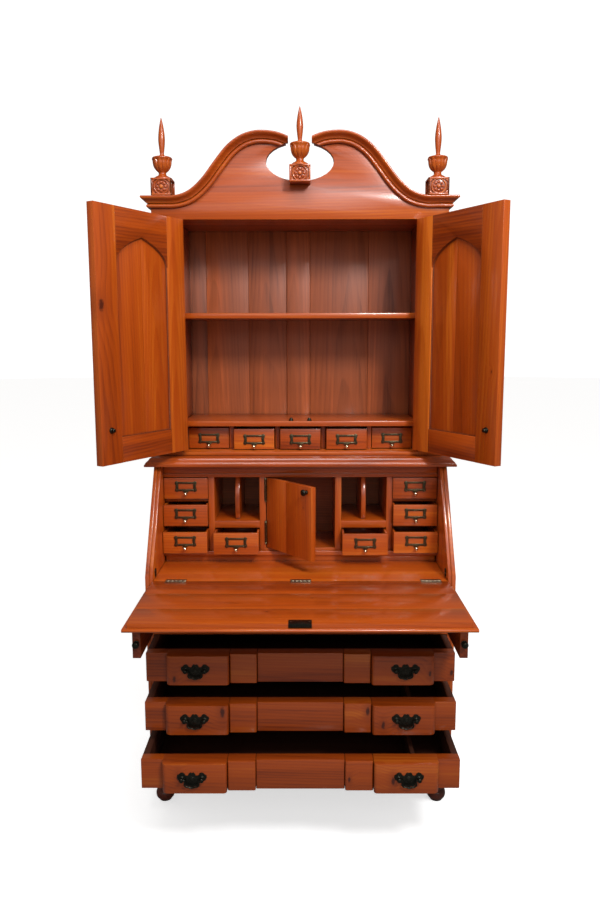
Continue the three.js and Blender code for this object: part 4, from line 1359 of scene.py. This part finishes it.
def flame_urn(work, centre, tall):
    """A domed foot, a waisted neck, an urn and a slender flame, tall from the block's top to the tip."""
    dome = [(0, -2), (27.5, -2), (27.5, -2), (28, 0.5), (27, 3.5), (22, 7.5), (15, 11), (12, 14.5)]
    flame = [(r, 72 + (h - 72) * (tall - 72) / 98) for r, h in FLAME]
    profile = smoothed([*dome, *URN, (10, 71), (10, 71), *flame, (0, tall)], 4)
    work.lathe(profile, centre, 48, grain="z")


def carving(name, rings):
    """A small carved shape through rings, near the origin and ready for the repeat tree."""
    work = Joinery(name, tone=0.3, grain="z")
    work.run(rings)
    mesh = work.mesh()
    mesh.transform(Matrix.Translation(-(TO_FRAME @ Vector())))
    return mesh


def leaf_mesh():
    """One carved leaf lying up the side of an urn, its tip curling out over the rim."""
    spine = smoothed(URN[2:9], 3)
    rings = []
    for i, (radius, height) in enumerate(spine):
        t = i / (len(spine) - 1)
        half = 0.5 + radius * 0.27 * math.sin(math.pi * min(1, 0.14 + t * 0.84)) ** 0.7
        lift = 0.5 + 2.4 * math.sin(math.pi * (0.1 + 0.75 * t)) ** 0.6
        rings.append([
            (radius - 2.0, -half, height), (radius + lift * 0.55, -half * 0.7, height),
            (radius + lift * 0.75, -half * 0.25, height), (radius + lift, 0, height),
            (radius + lift * 0.75, half * 0.25, height), (radius + lift * 0.55, half * 0.7, height),
            (radius - 2.0, half, height)])
    return carving("urn_leaf", rings)


def petal_mesh():
    """One petal of a rosette, standing off the block's face."""
    rings = []
    for i in range(8):
        t = i / 7
        half = 0.6 + 4.9 * math.sin(math.pi * (0.06 + 0.84 * t))
        lift = 0.5 + 3.8 * math.sin(math.pi * t) ** 0.6
        r = 7.5 + 10.5 * t
        rings.append([(r, -half, -1), (r, -half * 0.6, lift * 0.75), (r, 0, lift),
                      (r, half * 0.6, lift * 0.75), (r, half, -1)])
    return carving("rosette_petal", rings)


def add_ring_of(name, mesh, count, place):
    """Copies of a carved shape turned round an upright axis, then put in place."""
    source = helper_object(f"{name}_source", mesh)
    step = 2 * math.pi / count
    made = grown(name, repeat_tree(), piece=source, count=count, turn_step=step, finish=carved_timber())
    discard(source)
    made.transform(place)
    put(name, made, None, CASE)


def build_finials():
    outer, bar, relief = 33, 5.5, 5
    for place in ("centre", "left", "right"):
        node = f"finial_{place}"
        x0, x1, y0, y1, z0, z1 = span(node)
        # the centre block stands against the board, so only its front is carved
        block_tall, deep, behind = (52, 48, 0) if place == "centre" else (53, 66, relief)
        x = (x0 + x1) / 2
        y = CENTRE_FINIAL_Y if place == "centre" else (y0 + y1) / 2
        near, far, top = y - deep / 2, y + deep / 2, z0 + block_tall
        middle = (z0 + top) / 2
        work = Joinery(f"{node}_carved", tone=0.3, grain="z")
        core = outer - behind
        work.board(x - core, x + core, near + relief, far - behind, z0 + 0.2, top - 0.3, edge=0.8, tone=-0.2)
        edges = ((-outer, outer, z0, z0 + bar), (-outer, outer, top - bar, top),
                 (-outer, -outer + bar, z0 + bar, top - bar), (outer - bar, outer, z0 + bar, top - bar))
        for level in (near,) if place == "centre" else (near, far - relief):
            for a, b, c, d in edges:
                work.board(x + a, x + b, level, level + relief + 0.2, c, d, edge=1.2, tone=0.4)
            for sx in (-1, 1):
                for sz in (-1, 1):
                    corner = [(x + sx * a, middle + sz * b) for a, b in SPANDREL]
                    work.sawn(corner, "y", level + 1.6, level + relief, edge=0.8, tone=0.5)
        if place != "centre":
            for level in (x - outer, x + outer - relief):
                for a, b, c, d in edges:
                    work.board(level, level + relief, y + a, y + b, c, d, edge=1.2, tone=0.4)
        face = near + relief
        button = smoothed([(0, 0), (6.2, 0), (6.2, 0), (6.2, 2.2), (5.0, 4.6), (2.6, 5.6), (0, 5.8)], 3)
        # the button takes the palest tone: a painted highlight on its dome
        work.lathe(button, (x, face + 0.2, middle), 24, "-y", tone=0.9)
        hoop = [(0, 0), (19.6, 0), *smoothed(HOOP, 3)[1:], (24.6, -0.5), (0, -0.5)]
        work.lathe(hoop, (x, face + 0.1, middle), 40, "-y")
        flame_urn(work, (x, y, top), z1 - top)
        work.finish(carved_timber(), stands_for=[node])
        count = sizes().urn_flutes
        add_ring_of(f"{node}_urn_leaves", leaf_mesh(), count, at(x, y, top))
        upright = at(x, face, middle) @ Matrix.Rotation(math.pi / 2, 4, "X")
        add_ring_of(f"{node}_rosette", petal_mesh(), 8, upright)


# ---- studio -----------------------------------------------------------------------------------------


FLOOR_RADIUS, FLOOR_Z = 30.0, -0.0005
CAMERA_PLACE = (6.3, -2270, 1513)
CAMERA_TILT = (8.28, -0.17, -0.09)  # pitch, yaw and roll in degrees
CAMERA_LENS = 30.48

# Lamps in metres and watts: name, place, aim, width, height, power, and whether the varnish mirrors it
SOFTBOXES = (
    ("key_softbox", (1.3, -2.6, 3.4), (0, 0.1, 1.2), 0.7, 0.7, 88, True),
    ("wide_softbox", (0.0, -4.2, 2.95), (0, 0, 1.9), 5.0, 1.4, 26, True),
    ("top_softbox", (0.0, -1.5, 3.9), (0, -0.2, 0.8), 1.6, 0.8, 36, True),
    ("low_softbox", (0.6, -3.4, 0.9), (0, -0.2, 0.5), 2.4, 0.8, 12, False),
)


def floor_material():
    """Paper white to the camera, and dull in what the varnish mirrors."""
    material, n, shader = new_material("studio_floor", colours().floor)
    place = n.add("ShaderNodeTexCoord").outputs["Object"]
    fine = n.noise(place, 40.0, 0.0, 3.0)
    pale = n.mix(n.ramp(fine, 0.3, 0.7), rgba(scaled(colours().floor, 0.985)), rgba(colours().floor))
    seen = n.add("ShaderNodeLightPath").outputs["Is Camera Ray"]
    n.feed(n.mix(seen, rgba(scaled(colours().floor, 0.16)), pale), shader["Base Color"])
    n.feed(n.mix(seen, (0.0, 0.0, 0.0, 1.0), (1.0, 1.0, 1.0, 1.0)), shader["Emission Color"])
    shader["Emission Strength"].default_value = 0.60
    n.feed(n.ramp(fine, 0.2, 0.8, 0.72, 0.82), shader["Roughness"])
    return material


def add_softbox(name, place, aim, width, height, power, seen_in_varnish):
    light = bpy.data.lights.new(name, "AREA")
    light.shape, light.size, light.size_y, light.energy = "RECTANGLE", width, height, power
    lamp = helper_object(name, light)
    lamp.location = place
    lamp.rotation_euler = (Vector(aim) - Vector(place)).to_track_quat("-Z", "Y").to_euler()
    lamp.visible_glossy = seen_in_varnish


def build_stage():
    scene = bpy.context.scene
    mesh = bpy.data.meshes.new("studio_floor")
    points = [(*p, FLOOR_Z) for p in ring(FLOOR_RADIUS, 48)]
    mesh.from_pydata(points, [], [list(range(len(points)))])
    mesh.materials.append(floor_material())
    floor = helper_object("studio_floor", mesh)
    world = bpy.data.worlds.new("studio_light")
    scene.world = world
    world.use_nodes = True
    n = Nodes(world.node_tree)
    world.node_tree.nodes.clear()
    rays = n.add("ShaderNodeLightPath").outputs
    soft = n.add("ShaderNodeBackground", {"Color": (1.0, 0.98, 0.96, 1.0), "Strength": 0.45})
    dim = n.add("ShaderNodeBackground", {"Color": (1.0, 0.96, 0.92, 1.0), "Strength": 0.10})
    white = n.add("ShaderNodeBackground", {"Color": (1.0, 1.0, 1.0, 1.0), "Strength": 1.15})
    unseen = n.add("ShaderNodeMixShader", {0: rays["Is Glossy Ray"], 1: soft.outputs[0], 2: dim.outputs[0]})
    seen = {0: rays["Is Camera Ray"], 1: unseen.outputs[0], 2: white.outputs[0]}
    either = n.add("ShaderNodeMixShader", seen)
    n.add("ShaderNodeOutputWorld", {"Surface": either.outputs[0]})
    for softbox in SOFTBOXES:
        add_softbox(*softbox)
    camera = bpy.data.cameras.new("camera")
    camera.sensor_fit, camera.sensor_height, camera.lens = "VERTICAL", 36.0, CAMERA_LENS
    camera.clip_end = 2 * FLOOR_RADIUS
    eye = helper_object("camera", camera)
    pitch, yaw, roll = (math.radians(a) for a in CAMERA_TILT)
    turn = Matrix.Rotation(-yaw, 4, "Z") @ Matrix.Rotation(math.pi / 2 - pitch, 4, "X")
    turn @= Matrix.Rotation(roll, 4, "Z")
    eye.matrix_world = at(*CAMERA_PLACE) @ turn
    scene.camera = eye
    scene.view_settings.view_transform = "Standard"


# ---- add-on -----------------------------------------------------------------------------------------


class SECRETARY_OT_stage(bpy.types.Operator):
    """Add the floor, the soft lights and the camera"""

    bl_idname = "secretary.stage"
    bl_label = "Studio Stage"

    def execute(self, context):
        build_stage()
        return {"FINISHED"}


class SECRETARY_OT_base(bpy.types.Operator):
    """Turn the bun feet and finish the base frame"""

    bl_idname = "secretary.base"
    bl_label = "Feet and Base"

    def execute(self, context):
        build_feet_and_base()
        return {"FINISHED"}


class SECRETARY_OT_lower_case(bpy.types.Operator):
    """Finish the lower case, its rails, the writing bed and the waist moulding"""

    bl_idname = "secretary.lower_case"
    bl_label = "Lower Case"

    def execute(self, context):
        build_lower_case()
        return {"FINISHED"}


class SECRETARY_OT_fall(bpy.types.Operator):
    """Build the fall with its lock plate and hinges, and the lopers that carry it"""

    bl_idname = "secretary.fall"
    bl_label = "Fall and Lopers"

    def execute(self, context):
        build_fall()
        build_lopers()
        return {"FINISHED"}


class SECRETARY_OT_drawers(bpy.types.Operator):
    """Build the three block-front drawers"""

    bl_idname = "secretary.drawers"
    bl_label = "Block-front Drawers"

    def execute(self, context):
        build_drawers()
        return {"FINISHED"}


class SECRETARY_OT_handles(bpy.types.Operator):
    """Fit bat-wing plates, posts and swinging bails to the large drawers"""

    bl_idname = "secretary.handles"
    bl_label = "Bat-wing Handles"

    def execute(self, context):
        build_handles()
        return {"FINISHED"}


class SECRETARY_OT_gallery(bpy.types.Operator):
    """Build the gallery's ledge, uprights, shelves and dividers"""

    bl_idname = "secretary.gallery"
    bl_label = "Gallery"

    def execute(self, context):
        build_gallery()
        return {"FINISHED"}


class SECRETARY_OT_small_drawers(bpy.types.Operator):
    """Build the thirteen small drawers with their card-holder pulls"""

    bl_idname = "secretary.small_drawers"
    bl_label = "Small Drawers"

    def execute(self, context):
        build_small_drawers()
        return {"FINISHED"}


class SECRETARY_OT_prospect_door(bpy.types.Operator):
    """Hang the small door in the middle of the gallery"""

    bl_idname = "secretary.prospect_door"
    bl_label = "Prospect Door"

    def execute(self, context):
        build_prospect_door()
        return {"FINISHED"}


class SECRETARY_OT_bookcase(bpy.types.Operator):
    """Build the bookcase's sides, boarded back, shelf and row case"""

    bl_idname = "secretary.bookcase"
    bl_label = "Bookcase"

    def execute(self, context):
        build_bookcase()
        return {"FINISHED"}


class SECRETARY_OT_doors(bpy.types.Operator):
    """Build the two arched bookcase doors"""

    bl_idname = "secretary.doors"
    bl_label = "Bookcase Doors"

    def execute(self, context):
        build_doors()
        return {"FINISHED"}


class SECRETARY_OT_pediment(bpy.types.Operator):
    """Build the pediment board and its two swan-neck mouldings"""

    bl_idname = "secretary.pediment"
    bl_label = "Pediment"

    def execute(self, context):
        build_pediment()
        return {"FINISHED"}


class SECRETARY_OT_finials(bpy.types.Operator):
    """Carve the three flame finials"""

    bl_idname = "secretary.finials"
    bl_label = "Flame Finials"

    def execute(self, context):
        build_finials()
        return {"FINISHED"}


OPERATORS = (
    SECRETARY_OT_stage,
    SECRETARY_OT_base,
    SECRETARY_OT_lower_case,
    SECRETARY_OT_fall,
    SECRETARY_OT_drawers,
    SECRETARY_OT_handles,
    SECRETARY_OT_gallery,
    SECRETARY_OT_small_drawers,
    SECRETARY_OT_prospect_door,
    SECRETARY_OT_bookcase,
    SECRETARY_OT_doors,
    SECRETARY_OT_pediment,
    SECRETARY_OT_finials,
)


class SECRETARY_PT_panel(bpy.types.Panel):
    """Lists the desk's settings and the steps that build it"""

    bl_label = "Secretary Desk"
    bl_idname = "SECRETARY_PT_panel"
    bl_space_type = "VIEW_3D"
    bl_region_type = "UI"
    bl_category = "Secretary"

    def draw(self, context):
        layout = self.layout
        for settings in (context.scene.secretary_sizes, context.scene.secretary_colours):
            box = layout.box()
            for name in settings.__annotations__:
                box.prop(settings, name)
        for operator in OPERATORS:
            layout.operator(operator.bl_idname)


CLASSES = (SecretarySizes, SecretaryColours, *OPERATORS, SECRETARY_PT_panel)


def register():
    for cls in CLASSES:
        bpy.utils.register_class(cls)
    bpy.types.Scene.secretary_sizes = bpy.props.PointerProperty(type=SecretarySizes)
    bpy.types.Scene.secretary_colours = bpy.props.PointerProperty(type=SecretaryColours)


def unregister():
    del bpy.types.Scene.secretary_colours
    del bpy.types.Scene.secretary_sizes
    for cls in reversed(CLASSES):
        bpy.utils.unregister_class(cls)


def main():
    register()
    for operator in OPERATORS:
        getattr(bpy.ops.secretary, operator.bl_idname.split(".")[1])()


if __name__ == "__main__":
    main()
